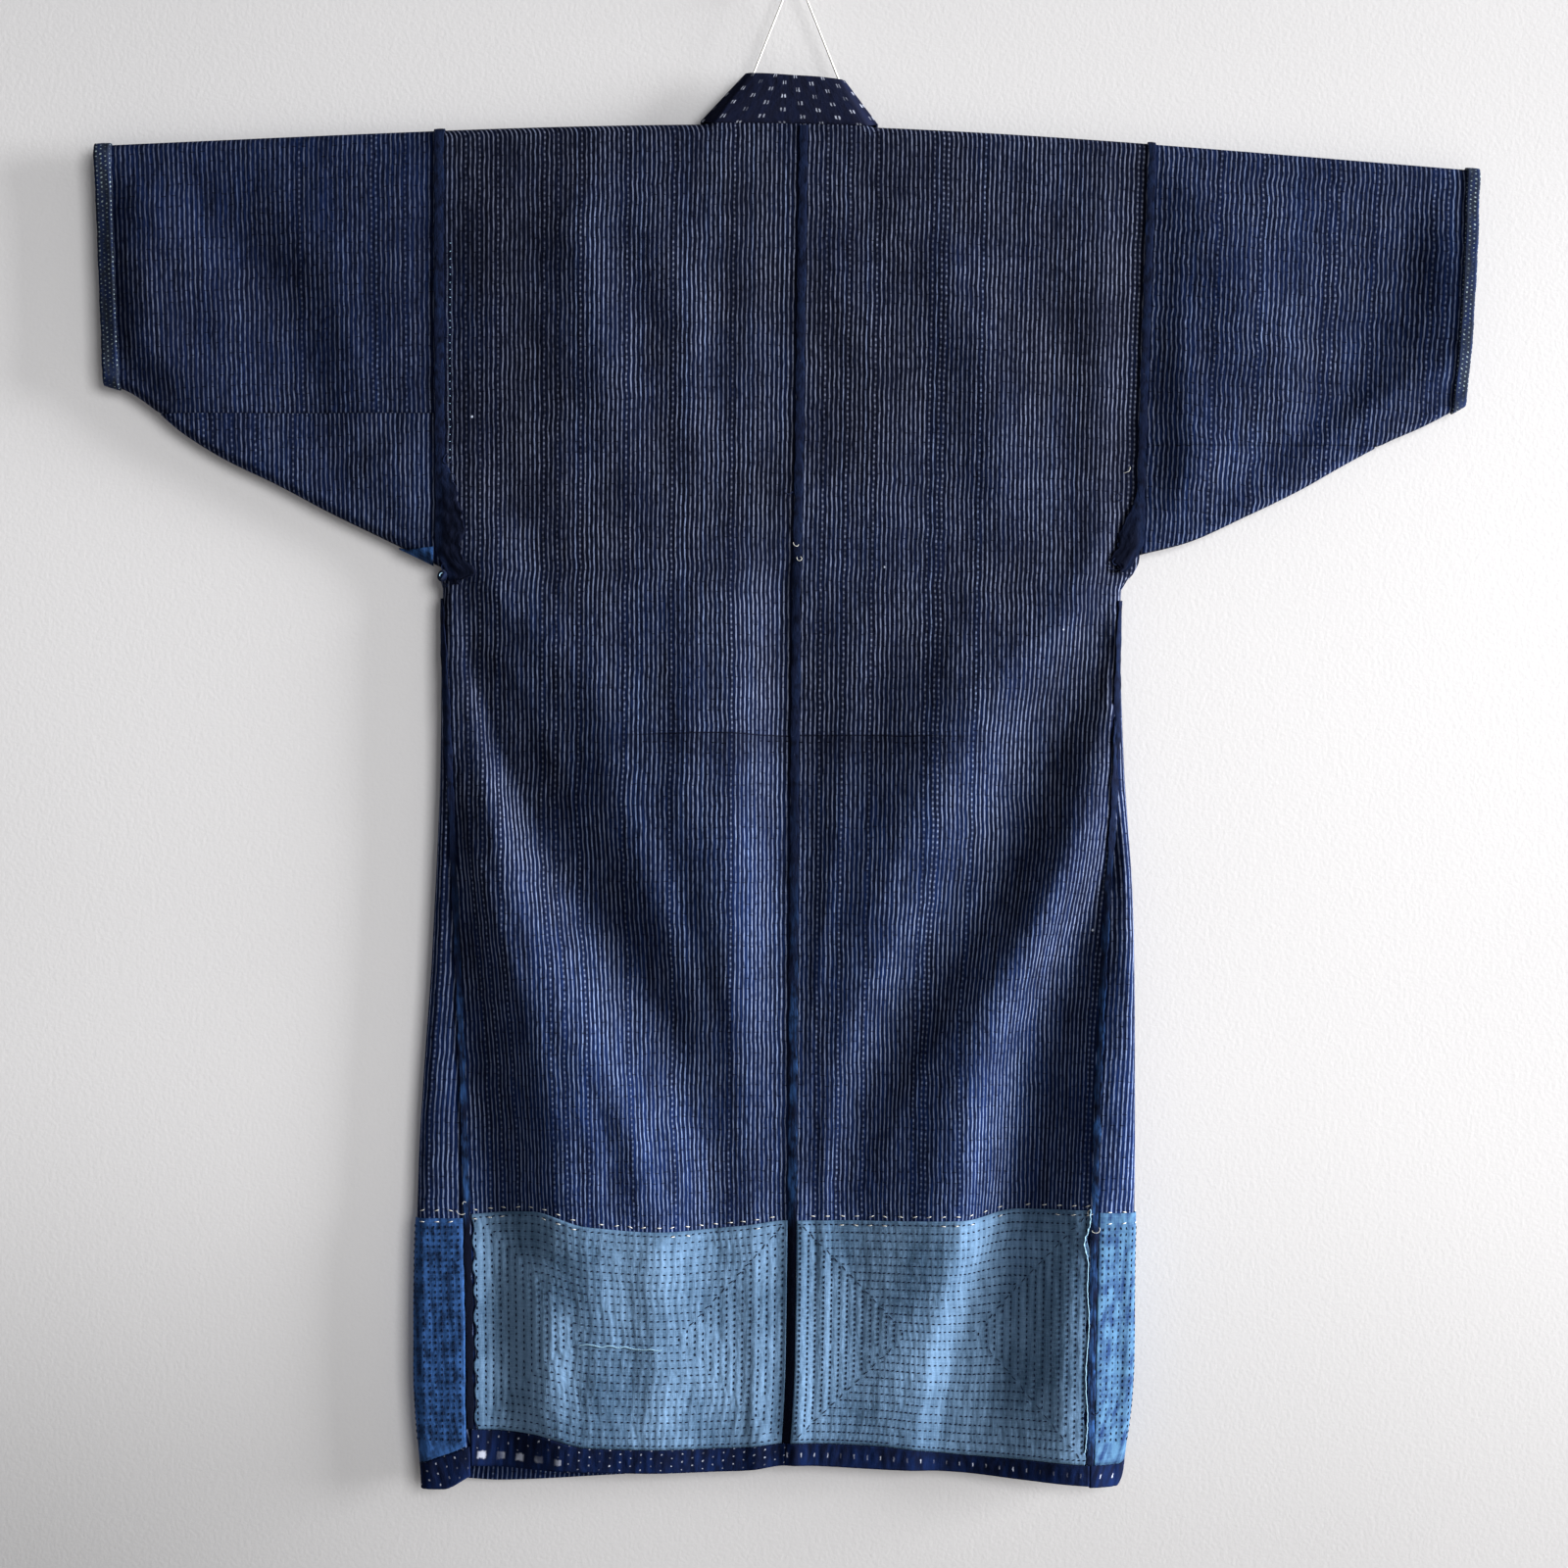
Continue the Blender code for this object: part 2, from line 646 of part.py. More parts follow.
def new_material(name, colour, roughness, metallic=0.0):
    material = bpy.data.materials.new(name)
    material.use_nodes = True
    shader = material.node_tree.nodes["Principled BSDF"]
    shader.inputs["Base Color"].default_value = (*colour, 1.0)
    shader.inputs["Roughness"].default_value = roughness
    shader.inputs["Metallic"].default_value = metallic
    return material


def add_object(name, data, material, collection):
    data.materials.append(material)
    piece = bpy.data.objects.new(name, data)
    collection.objects.link(piece)
    return piece


def cloth(name, rows, columns, place, thickness, look, collection, keep=None, outside=False):
    """Sew a grid of points into an open sheet, facing out, and give it its thickness."""
    mesh_maker = bmesh.new()
    across = len(columns) - 1
    along = len(rows) - 1
    bmesh.ops.create_grid(mesh_maker, x_segments=across, y_segments=along, size=1.0)
    spots = {}
    for corner in mesh_maker.verts:
        column = round((corner.co.x + 1) / 2 * across)
        row = round((corner.co.y + 1) / 2 * along)
        spots[corner] = (row, column)
    if keep:
        unwanted = []
        for face in mesh_maker.faces:
            row = min(spots[corner][0] for corner in face.verts)
            column = min(spots[corner][1] for corner in face.verts)
            if not keep(row, column):
                unwanted.append(face)
        bmesh.ops.delete(mesh_maker, geom=unwanted, context="FACES")
    for corner in mesh_maker.verts:
        row, column = spots[corner]
        corner.co = place(rows[row], columns[column])
    bmesh.ops.remove_doubles(mesh_maker, verts=mesh_maker.verts, dist=MERGE)
    bmesh.ops.triangulate(mesh_maker, faces=mesh_maker.faces, quad_method="FIXED")
    mesh_maker.normal_update()
    facing = sum(face.normal.y * face.calc_center_median().y * face.calc_area() for face in mesh_maker.faces)
    if facing < 0:
        bmesh.ops.reverse_faces(mesh_maker, faces=mesh_maker.faces)
    mesh = bpy.data.meshes.new(name)
    mesh_maker.to_mesh(mesh)
    mesh_maker.free()
    mesh.shade_smooth()
    piece = add_object(name, mesh, look, collection)
    wall = piece.modifiers.new("Wall", "SOLIDIFY")
    wall.thickness = thickness
    wall.offset = 1.0 if outside else -1.0
    return piece


def rod_tube(name, points, radius, sides, look, collection):
    """A round bar or string along a line of points, with closed ends."""
    curve = bpy.data.curves.new(name, "CURVE")
    curve.dimensions = "3D"
    curve.bevel_depth = radius
    curve.bevel_resolution = sides
    curve.use_fill_caps = True
    spline = curve.splines.new("POLY")
    spline.points.add(len(points) - 1)
    for spot, point in zip(spline.points, points):
        spot.co = (*point, 1.0)
    spline.use_smooth = True
    return add_object(name, curve, look, collection)


# The pieces ---------------------------------------------------------------------------------

def make_body(side, look, collection):
    neck_columns = len(INNER_COLUMNS)
    first_front = BODY_STATIONS.index(("bend", 90))

    def keep(row, column):
        return row < first_front or column >= neck_columns
    return cloth("body_" + SIDE_NAMES[side], BODY_STATIONS, BODY_COLUMNS,
                 lambda station, column: body_point(side, column, station),
                 CLOTH, look, collection, keep)


def make_sleeve(side, look, collection):
    def place(station, out):
        way, index = station
        return sleeve_skin(side, out, way * sleeve_reaches(side, out)[index])
    return cloth("sleeve_" + SIDE_NAMES[side], SLEEVE_STATIONS, sleeve_outs(side), place,
                 CLOTH, look, collection)


def make_gusset(side, look, collection):
    def reaches(out):
        start = gusset_reach(side, out) + GAP * (1 + FOLD_GAPS * seam_on_fold(side, out))
        whole = sleeve_half_ring(side, out)
        low = max(whole - QUARTER, start)
        flat = [mix(start, low, share) for share in GUSSET_ROWS]
        return flat + [mix(low, whole, share) for share in EDGE_ROWS]
    count = len(GUSSET_ROWS) + len(EDGE_ROWS)
    stations = [(-1, index) for index in range(count)] + [(1, index) for index in reversed(range(count - 1))]
    return cloth("gusset_" + SIDE_NAMES[side], stations, gusset_outs(side),
                 lambda station, out: sleeve_skin(side, out, station[0] * reaches(out)[station[1]]),
                 CLOTH, look, collection)


def make_cuff(side, look, collection):
    outs = sleeve_outs(side)[-2:]
    return cloth("cuff_" + SIDE_NAMES[side], SLEEVE_STATIONS, outs,
                 lambda station, out: cuff_point(side, out, station),
                 OVERLAY, look, collection, outside=True)


def cuff_point(side, out, station):
    way, index = station
    reach = sleeve_reaches(side, out)[index]
    if index == SLEEVE_HALF[-1]:
        reach = sleeve_half_ring(side, out)
    return sleeve_skin(side, out, way * reach, TAPE_LIFT)


def collar_seam(side, kind, value):
    """A point of the collar's seam: along the neck, over the shoulder fold, down the front."""
    if kind == "neck":
        x = side * value
        ease = smooth((NECK[side] - value) / NECK_EASE)
        return Vector((x, -BEND * ease, shoulder_top(x) + mix(CORNER_GAP, NECK_GAP, ease)))
    if kind == "bend":
        x = side * (NECK[side] - GAP)
        turn = radians(value)
        lift = CORNER_GAP * sin(turn)
        return Vector((x, -BEND * cos(turn), shoulder_top(x) - BEND + BEND * sin(turn) + lift))
    seam = body_place(side, front_around(side, value), value)
    seam.x -= side * GAP
    return seam


def make_collar(look, collection):
    """One band, standing at the back of the neck and running down both fronts."""
    kinds = ["neck"] * 4 + ["bend"] * 4 + ["front"] * 2
    halves = {}
    for side in (-1, 1):
        rows = []
        for station, kind in enumerate(kinds):
            seam, *free = [COLLAR[side].read(column, station) for column in COLLAR_COLUMNS]
            rows.append((collar_seam(side, kind, seam), Vector(free)))
        for down in COLLAR_FRONT_ROWS:
            seam = collar_seam(side, "front", down)
            rows.append((seam, seam - Vector((side * COLLAR_WIDTH, 0, 0))))
        halves[side] = rows
    middle_x = BODY.read("centre", 0.0)
    middle = (Vector((middle_x, -BEND, shoulder_top(middle_x) + NECK_GAP)), Vector(COLLAR_MIDDLE))
    rows = list(reversed(halves[-1])) + [middle] + halves[1]
    return cloth("collar", rows, (0.0, 0.5, 1.0), lambda row, share: row[0].lerp(row[1], share),
                 BAND, look, collection)


BACK_PATCH_LEVELS = [("patch", share) for share in (0.0,) + PATCH_ROWS] + [("band", 0.0)]
FRONT_PATCH_LEVELS = [("patch", 0.0), ("patch", 0.5), ("band", 0.0)]
BAND_LEVELS = [("band", 2 * GAP), ("hem", 0.0)]


def laid_on_back(name, side, levels, columns, look, collection):
    """A piece laid on the back, on the back's own columns and rows."""
    def place(level, column):
        aside = {"tape": -2 * GAP, "shoulder": 2 * GAP * (column[1] == 1.0)}.get(column[0], 0.0)

        def around_at(down):
            return back_around(side, column, down) + aside
        down = level_down(side, level, "back", around_at)
        return body_skin(side, around_at(down), down, GAP)
    return cloth(name, levels[::-1], columns, place, OVERLAY, look, collection, outside=True)


def laid_on_front(name, side, levels, columns, look, collection):
    """A piece laid on a front and carried round the side fold to the side seam."""
    def place(level, column):
        def around_at(down):
            return front_place_around(side, column, down) - 2 * GAP * (column[0] == "rim")
        down = level_down(side, level, "front", around_at)
        return body_skin(side, around_at(down), down, GAP)
    return cloth(name, levels, columns, place, OVERLAY, look, collection, outside=True)


def make_centre_tape(look, collection):
    """The strip over the centre seam, from under the collar to the hem band."""
    stations = [("back", level) for level in reversed(BACK_LEVEL_ROWS[:-1])]
    stations += [("bend", angle) for angle in BEND_ANGLES if angle < 90]

    def place(station, column):
        if column == 0:
            left = body_point(-1, ("seam", 0), station, TAPE_LIFT)
            return left.lerp(body_point(1, ("seam", 0), station, TAPE_LIFT), 0.5)
        return body_point(column, ("tape", 0), station, TAPE_LIFT)
    return cloth("centre_seam_tape", stations, (-1, 0, 1), place,
                 OVERLAY, look, collection, outside=True)


def make_side_tape(side, look, collection):
    """The strip over the side seam, from the underarm to the hem band."""
    levels = [level for level in BACK_LEVEL_ROWS if level[0] in ("body", "patch")] + [("band", 0.0)]

    def place(level, share):
        down = level_down(side, level, "back", lambda depth: back_edge(side, depth))
        around = seam_around(side, down) + share * SIDE_TAPE
        return body_skin(side, around, down, TAPE_LIFT)
    return cloth("side_seam_tape_" + SIDE_NAMES[side], levels, (-1, 0, 1), place,
                 OVERLAY, look, collection, outside=True)


def make_armhole_tape(side, look, collection):
    """The strip over the armhole seam, up the back, over the shoulder and down the front."""
    low = UNDERARM[side] - ARMHOLE_TAPE_END
    downs = [mix(BEND, low, share) for share in (0.0,) + ABOVE_UNDERARM[:-1] + (1.0,)]
    stations = [(-1, down) for down in reversed(downs)]
    stations += [(0, angle) for angle in BEND_ANGLES]
    stations += [(1, down) for down in downs]

    def place(station, share):
        face, value = station
        if face == 0:
            x = armhole_x(side, BEND) + side * share * TAPE
            turn = radians(value)
            radius = BEND + TAPE_LIFT
            return Vector((x, -radius * cos(turn), shoulder_top(x) - BEND + radius * sin(turn)))
        x = armhole_x(side, value) + side * share * TAPE
        return Vector((x, face * (BEND + TAPE_LIFT), height(x, value)))
    return cloth("armhole_tape_" + SIDE_NAMES[side], stations, (-1, 0, 1), place,
                 OVERLAY, look, collection, outside=True)


def make_scrap(look, collection):
    """A three-cornered scrap at the foot of the left sleeve, beside the armhole."""
    side = -1
    long = SCRAP_LONG / sleeve_length(side)

    def place(height_share, out_share):
        out = mix(SCRAP_START, long, out_share)
        tall = mix(SCRAP_TALL, SCRAP_TIP, out_share)
        reach = sleeve_half_ring(side, out) - GAP - tall * height_share
        return sleeve_skin(side, out, -reach, SCRAP_LIFT)
    return cloth("underarm_scrap_left", (1.0, 0.75, 0.5, 0.25, 0.0), (0.0, 0.33, 0.67, 1.0), place,
                 OVERLAY, look, collection, outside=True)


def rod_height(x):
    return shoulder_top(x) - CLOTH - ROD_PLAY - ROD_RADIUS


def make_rod(look, collection):
    start, end = ROD_ENDS
    count = 25
    places = [mix(start, end, index / (count - 1)) for index in range(count)]
    points = [Vector((x, 0, rod_height(x))) for x in places]
    return rod_tube("hanging_rod", points, ROD_RADIUS, 2, look, collection)


def string_turn():
    """Radius of the string's own line where it passes over the pin."""
    return PIN_RADIUS + GAP + STRING_DIAMETER / 2


def string_foot(side):
    """Where a leg of the string meets its loop on the rod."""
    turn = string_turn()
    x = 0.0
    for _ in range(6):
        top = rod_height(x) + ROD_RADIUS + 2 * GAP + STRING_DIAMETER
        x = side * (turn - top * sin(STRING_ANGLE)) / cos(STRING_ANGLE)
    return Vector((x, 0, top))


def make_string(look, collection):
    """One string: up from the rod, over the pin and down to the rod again."""
    turn = string_turn()
    route = []
    for side in (-1, 1):
        leaves = Vector((side * turn * cos(STRING_ANGLE), 0, turn * sin(STRING_ANGLE)))
        foot = string_foot(side)
        steps = round((leaves - foot).length / STRING_STEP)
        leg = [foot.lerp(leaves, step / steps) for step in range(steps + 1)]
        if side == -1:
            route += leg
            bows = 8
            for step in range(1, bows):
                bearing = pi - STRING_ANGLE - (pi - 2 * STRING_ANGLE) * step / bows
                route.append(Vector((turn * cos(bearing), 0, turn * sin(bearing))))
        else:
            route += reversed(leg)
    return rod_tube("hanging_string", route, STRING_DIAMETER / 2, 2, look, collection)


def make_loop(side, look, collection):
    """The end of the string, tied round the rod."""
    foot = string_foot(side)
    bpy.ops.mesh.primitive_torus_add(
        location=(foot.x, 0, rod_height(foot.x)), rotation=(0, pi / 2, 0),
        major_radius=ROD_RADIUS + GAP + STRING_DIAMETER / 2, minor_radius=STRING_DIAMETER / 2,
        major_segments=20, minor_segments=8)
    loop = bpy.context.object
    loop.name = "string_loop_" + SIDE_NAMES[side]
    loop.data.materials.append(look)
    loop.data.shade_smooth()
    for holder in list(loop.users_collection):
        holder.objects.unlink(loop)
    collection.objects.link(loop)
    return loop


def make_pin(look, collection):
    """A turned wall pin, lying along Y, with its head away from the wall."""
    profile = [
        (0.0, PIN_HEAD - PIN_FRONT),
        (PIN_HEAD_RADIUS * PIN_HEAD_FACE, PIN_HEAD - PIN_FRONT),
        (PIN_HEAD_RADIUS, PIN_HEAD * PIN_HEAD_RIM - PIN_FRONT),
        (PIN_HEAD_RADIUS, -PIN_FRONT),
        (PIN_RADIUS, -PIN_FRONT),
        (PIN_RADIUS, -WALL),
        (0.0, -WALL),
    ]
    mesh = bpy.data.meshes.new("wall_pin")
    points = [(radius, 0, along) for radius, along in profile]
    mesh.from_pydata(points, [(i, i + 1) for i in range(len(points) - 1)], [])
    pin = add_object("wall_pin", mesh, look, collection)
    pin.rotation_euler = (pi / 2, 0, 0)
    turning = pin.modifiers.new("Turning", "SCREW")
    turning.steps = 20
    turning.render_steps = 20
    turning.use_merge_vertices = True
    turning.merge_threshold = MERGE
    return pin


def main():
    for old in list(bpy.data.objects):
        bpy.data.objects.remove(old)
    collection = bpy.data.collections.new(NAME)
    bpy.context.scene.collection.children.link(collection)

    stripe = new_material("indigo_stripe_cotton", (0.020, 0.040, 0.115), 0.9)
    dark = new_material("dark_indigo_cotton", (0.008, 0.012, 0.040), 0.9)
    ikat = new_material("indigo_ikat_cotton", (0.010, 0.014, 0.045), 0.9)
    cuff = new_material("green_black_ikat_cotton", (0.012, 0.026, 0.028), 0.9)
    pale = new_material("faded_blue_cotton", (0.150, 0.280, 0.410), 0.9)
    bright = new_material("bright_blue_cotton", (0.040, 0.120, 0.330), 0.9)
    bamboo = new_material("bamboo", (0.550, 0.380, 0.180), 0.6)
    string = new_material("white_string", (0.850, 0.840, 0.800), 0.8)
    steel = new_material("steel", (0.600, 0.600, 0.600), 0.35, 1.0)

    for side in (-1, 1):
        make_body(side, stripe, collection)
        make_sleeve(side, stripe, collection)
        make_gusset(side, stripe, collection)
        make_cuff(side, cuff, collection)
        make_armhole_tape(side, dark, collection)
        make_side_tape(side, dark, collection)
        name = SIDE_NAMES[side]
        on_back = INNER_COLUMNS[1:] + OUTER_COLUMNS[:-1]
        to_seams = INNER_COLUMNS + OUTER_COLUMNS
        on_front = OUTER_COLUMNS + ROUND_COLUMNS
        laid_on_back("back_patch_" + name, side, BACK_PATCH_LEVELS, on_back, pale, collection)
        laid_on_back("back_hem_band_" + name, side, BAND_LEVELS, to_seams, ikat, collection)
        laid_on_front("front_patch_" + name, side, FRONT_PATCH_LEVELS, on_front[:-1], bright, collection)
        laid_on_front("front_hem_band_" + name, side, BAND_LEVELS, on_front, ikat, collection)
        make_loop(side, string, collection)
    make_collar(ikat, collection)
    make_centre_tape(dark, collection)
    make_scrap(bright, collection)
    make_rod(bamboo, collection)
    make_string(string, collection)
    make_pin(steel, collection)


main()
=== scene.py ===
"""The looks of a patched boro work robe hung flat on a rod: cloth, stitches, string and stage.

Sizes are in metres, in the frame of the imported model: the origin is on the wall pin, the robe's
back faces -Y and -X is the wearer's left. "Down" is a height measured below the middle of the
shoulder line, and "around" is cloth measured from the side fold, + on the back. The cloths
are grids laid on skins: functions that turn places on the cloth into points in the room.
"""
import random
from functools import partial
from math import cos, pi, radians, sin

import bmesh
import bpy
import numpy as np
from bpy.props import FloatProperty, FloatVectorProperty, PointerProperty
from mathutils import Matrix, Vector


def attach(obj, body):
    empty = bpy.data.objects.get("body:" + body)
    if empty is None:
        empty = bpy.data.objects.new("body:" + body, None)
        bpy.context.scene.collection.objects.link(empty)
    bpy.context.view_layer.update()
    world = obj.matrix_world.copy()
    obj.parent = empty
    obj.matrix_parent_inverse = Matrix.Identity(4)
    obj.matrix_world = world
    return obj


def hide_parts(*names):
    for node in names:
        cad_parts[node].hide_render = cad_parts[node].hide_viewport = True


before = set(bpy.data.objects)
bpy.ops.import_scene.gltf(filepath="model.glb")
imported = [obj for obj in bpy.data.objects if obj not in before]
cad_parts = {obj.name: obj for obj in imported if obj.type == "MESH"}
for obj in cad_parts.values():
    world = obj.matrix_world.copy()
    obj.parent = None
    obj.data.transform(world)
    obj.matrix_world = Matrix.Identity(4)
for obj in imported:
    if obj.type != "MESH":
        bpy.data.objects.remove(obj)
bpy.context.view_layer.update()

bl_info = {
    "name": "Patched boro work robe",
    "version": (1, 0, 0),
    "blender": (4, 5, 0),
    "location": "View3D > Sidebar > Robe",
    "description": "Dresses the packed model of a patched boro work robe",
    "category": "Object",
}

# The rod, the string and the pin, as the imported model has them
PIN_TO_SHOULDER = 0.130
LEVEL_OUT = 0.6
SHOULDER_SLOPE = 0.0187
ROD_BOW = 0.030
HALF_SPAN = 0.626
ROD_RADIUS = 0.0042
ROD_PLAY = 0.0008
STRING_DIAMETER = 0.0018
STRING_STEP = 0.005
STRING_ANGLE = radians(21.7)
PIN_RADIUS = 0.0025

# The cloth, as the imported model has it
CLOTH = 0.002
OVERLAY = 0.001
BAND = 0.0024
GAP = 0.0003
FOLD_GAPS = 6
SELF_GAP = 0.0008
BEND = 0.009
QUARTER = BEND * pi / 2
FULLNESS = 0.003
FADE = 0.05
RIDGE_ENDS = 0.2
RIDGE_LEAST = 0.35
NORMAL_STEP = 0.0005
TAPE = 0.0036
ARMHOLE_TAPE = {-1: 0.0042, 1: 0.0033}
NARROW_TAPE = 0.0033
NARROWING = (0.955, 0.02)              # where the centre tape starts to narrow, and how fast
SIDE_TAPE = 0.0029
TAPE_LIFT = 0.0007
CENTRE_LIFT = 0.0004
CENTRE_WALL = 0.0006
CENTRE_TAPE_END = 1.183
SIDE_TAPE_SPAN = (0.424, 1.205)
SCRAP_LIFT = 0.0010
NECK = {-1: 0.085, 1: 0.075}
NECK_EASE = 0.014
CORNER_GAP = 0.0030
FRONT_FOOT = {-1: 0.153, 1: 0.134}
FRONT_PARTING = 1.4
HEM = 1.216
UNDERARM = {-1: 0.397, 1: 0.386}
UNDERARM_CLOSE = 0.018
GUSSET_SEAM = {-1: 0.259, 1: 0.289}
TIP_DEPTH = 0.002
TIP_STEPS = 400
CUFF_TOP = {-1: (0.628, 0.019), 1: (0.614, 0.041)}
CUFF_FOOT = {-1: (0.6195, 0.232), 1: (0.601, 0.251)}
CUFF_BAND = {-1: 0.0145, 1: 0.0120}
SCRAP_LONG = 0.038
SCRAP_TALL = 0.020
SCRAP_TIP = 0.0015
SCRAP_START = 0.02
ARMHOLE_TAPE_END = 0.012
BUNCH_END = {-1: 0.412, 1: 0.398}
BUNCH_FROM = {-1: 0.290, 1: 0.315}     # where the armhole seam starts to bunch under the arm
BUNCH_WIDE = {-1: 0.016, 1: 0.017}
SLEEVE_LEVEL = 0.1
PATCH_ROW = 0.978
BAND_ROW = 1.185
HEM_ROW = 1.210
COLLAR_WIDTH = 0.045

# What only the looks have
STRING_LAY = 0.0030        # from one turn of the string's plies to the next
JOINT_PITCH = 0.21         # from one node of the bamboo to the next
FOLD_MARK = 0.552          # how far down an old fold shows as a line
NECK_GAP = 0.0003          # the collar stands closer to the neck's edge than its solid does
HEM_BENDS_FROM = 0.90      # below this the body's rows lean towards the hem's own line
CROWDING = 1.4             # how much more than its slope alone a fold gathers the stripes
STRAY_TWIST = 0.35         # how far a stitch turns from its row, in radians at most
MERGE = 0.00003
SIDES = (-1, 1)
SIDE_NAMES = {-1: "left", 1: "right"}


class Table:
    """Rows of sizes under named columns, read smoothly by the value in the first column."""

    def __init__(self, columns, rows):
        names = columns.split()
        self.rows = np.array(rows, dtype=float)
        self.keys = self.rows[:, 0]
        self.columns = {name: self.rows[:, order] for order, name in enumerate(names)}

    def read(self, column, at):
        """Give a column's values, by a cubic that never overshoots its rows."""
        keys, values = self.keys, self.columns[column]
        rise = np.diff(values) / np.diff(keys)
        before, after = rise[:-1], rise[1:]
        together = np.where(before * after > 0, before + after, 1.0)
        inner = np.where(before * after > 0, 2 * before * after / together, 0.0)
        slopes = np.concatenate((rise[:1], inner, rise[-1:]))
        at = np.clip(at, keys[0], keys[-1])
        i = np.clip(np.searchsorted(keys, at, side="right") - 1, 0, len(keys) - 2)
        step = keys[i + 1] - keys[i]
        t = (at - keys[i]) / step
        return (values[i] * (1 + 2 * t) * (1 - t) ** 2
                + values[i + 1] * t * t * (3 - 2 * t)
                + step * slopes[i] * t * (1 - t) ** 2
                + step * slopes[i + 1] * t * t * (t - 1))


def in_millimetres(columns, rows):
    """A table whose rows are written in millimetres."""
    return Table(columns, np.array(rows, dtype=float) / 1000)


# The outline, the levels and the largest folds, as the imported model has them
BODY = in_millimetres("down left_edge right_edge left_inset right_inset centre", [
    (0, 327, 329, 0, 0, 8), (133, 327, 324, 0, 0, 6), (344, 326, 318, 0, 0, 3),
    (386, 326, 317.5, 0, 0, 2), (397, 325, 306, 0, 0, 2), (415, 316, 293, 0, 1, 1),
    (450, 317, 292, 2, 2, 1), (560, 318, 295, 8, 8, 0), (730, 325, 304, 22, 26, -1),
    (940, 338, 304, 43, 36, -2), (1110, 341, 303, 50, 39, -4), (1216, 334, 292, 44, 30, -10)])
SLEEVE = Table("out left_foot right_foot", [
    (0.00, 0.397, 0.386), (0.15, 0.375, 0.375), (0.33, 0.349, 0.352), (0.50, 0.322, 0.328),
    (0.65, 0.300, 0.303), (0.78, 0.275, 0.283), (0.86, 0.254, 0.273), (0.94, 0.238, 0.261),
    (1.00, 0.232, 0.251)])
BACK_LEVELS = in_millimetres("across patch_top band_top hem", [
    (-292, 977, 1168, 1201), (-235, 973, 1172, 1204), (-185, 986, 1184, 1206), (-115, 991, 1186, 1207),
    (-50, 987, 1185, 1206), (-5, 982, 1181, 1201), (67, 982, 1183, 1204), (150, 981, 1192, 1208),
    (200, 972, 1194, 1212), (263, 971, 1198, 1217)])
FRONT_LEVELS = {side: Table("round patch_top band_top hem", rows) for side, rows in {
    -1: [(0.0, 0.981, 1.188, 1.213), (0.6, 0.983, 1.192, 1.218), (0.9, 0.981, 1.194, 1.214),
         (1.0, 0.980, 1.199, 1.222), (1.5, 0.980, 1.192, 1.222), (2.0, 0.980, 1.183, 1.210)],
    1: [(0.0, 0.977, 1.186, 1.204), (0.6, 0.975, 1.188, 1.206), (1.0, 0.974, 1.194, 1.208),
        (1.3, 0.974, 1.199, 1.219), (2.0, 0.973, 1.198, 1.218)],
}.items()}

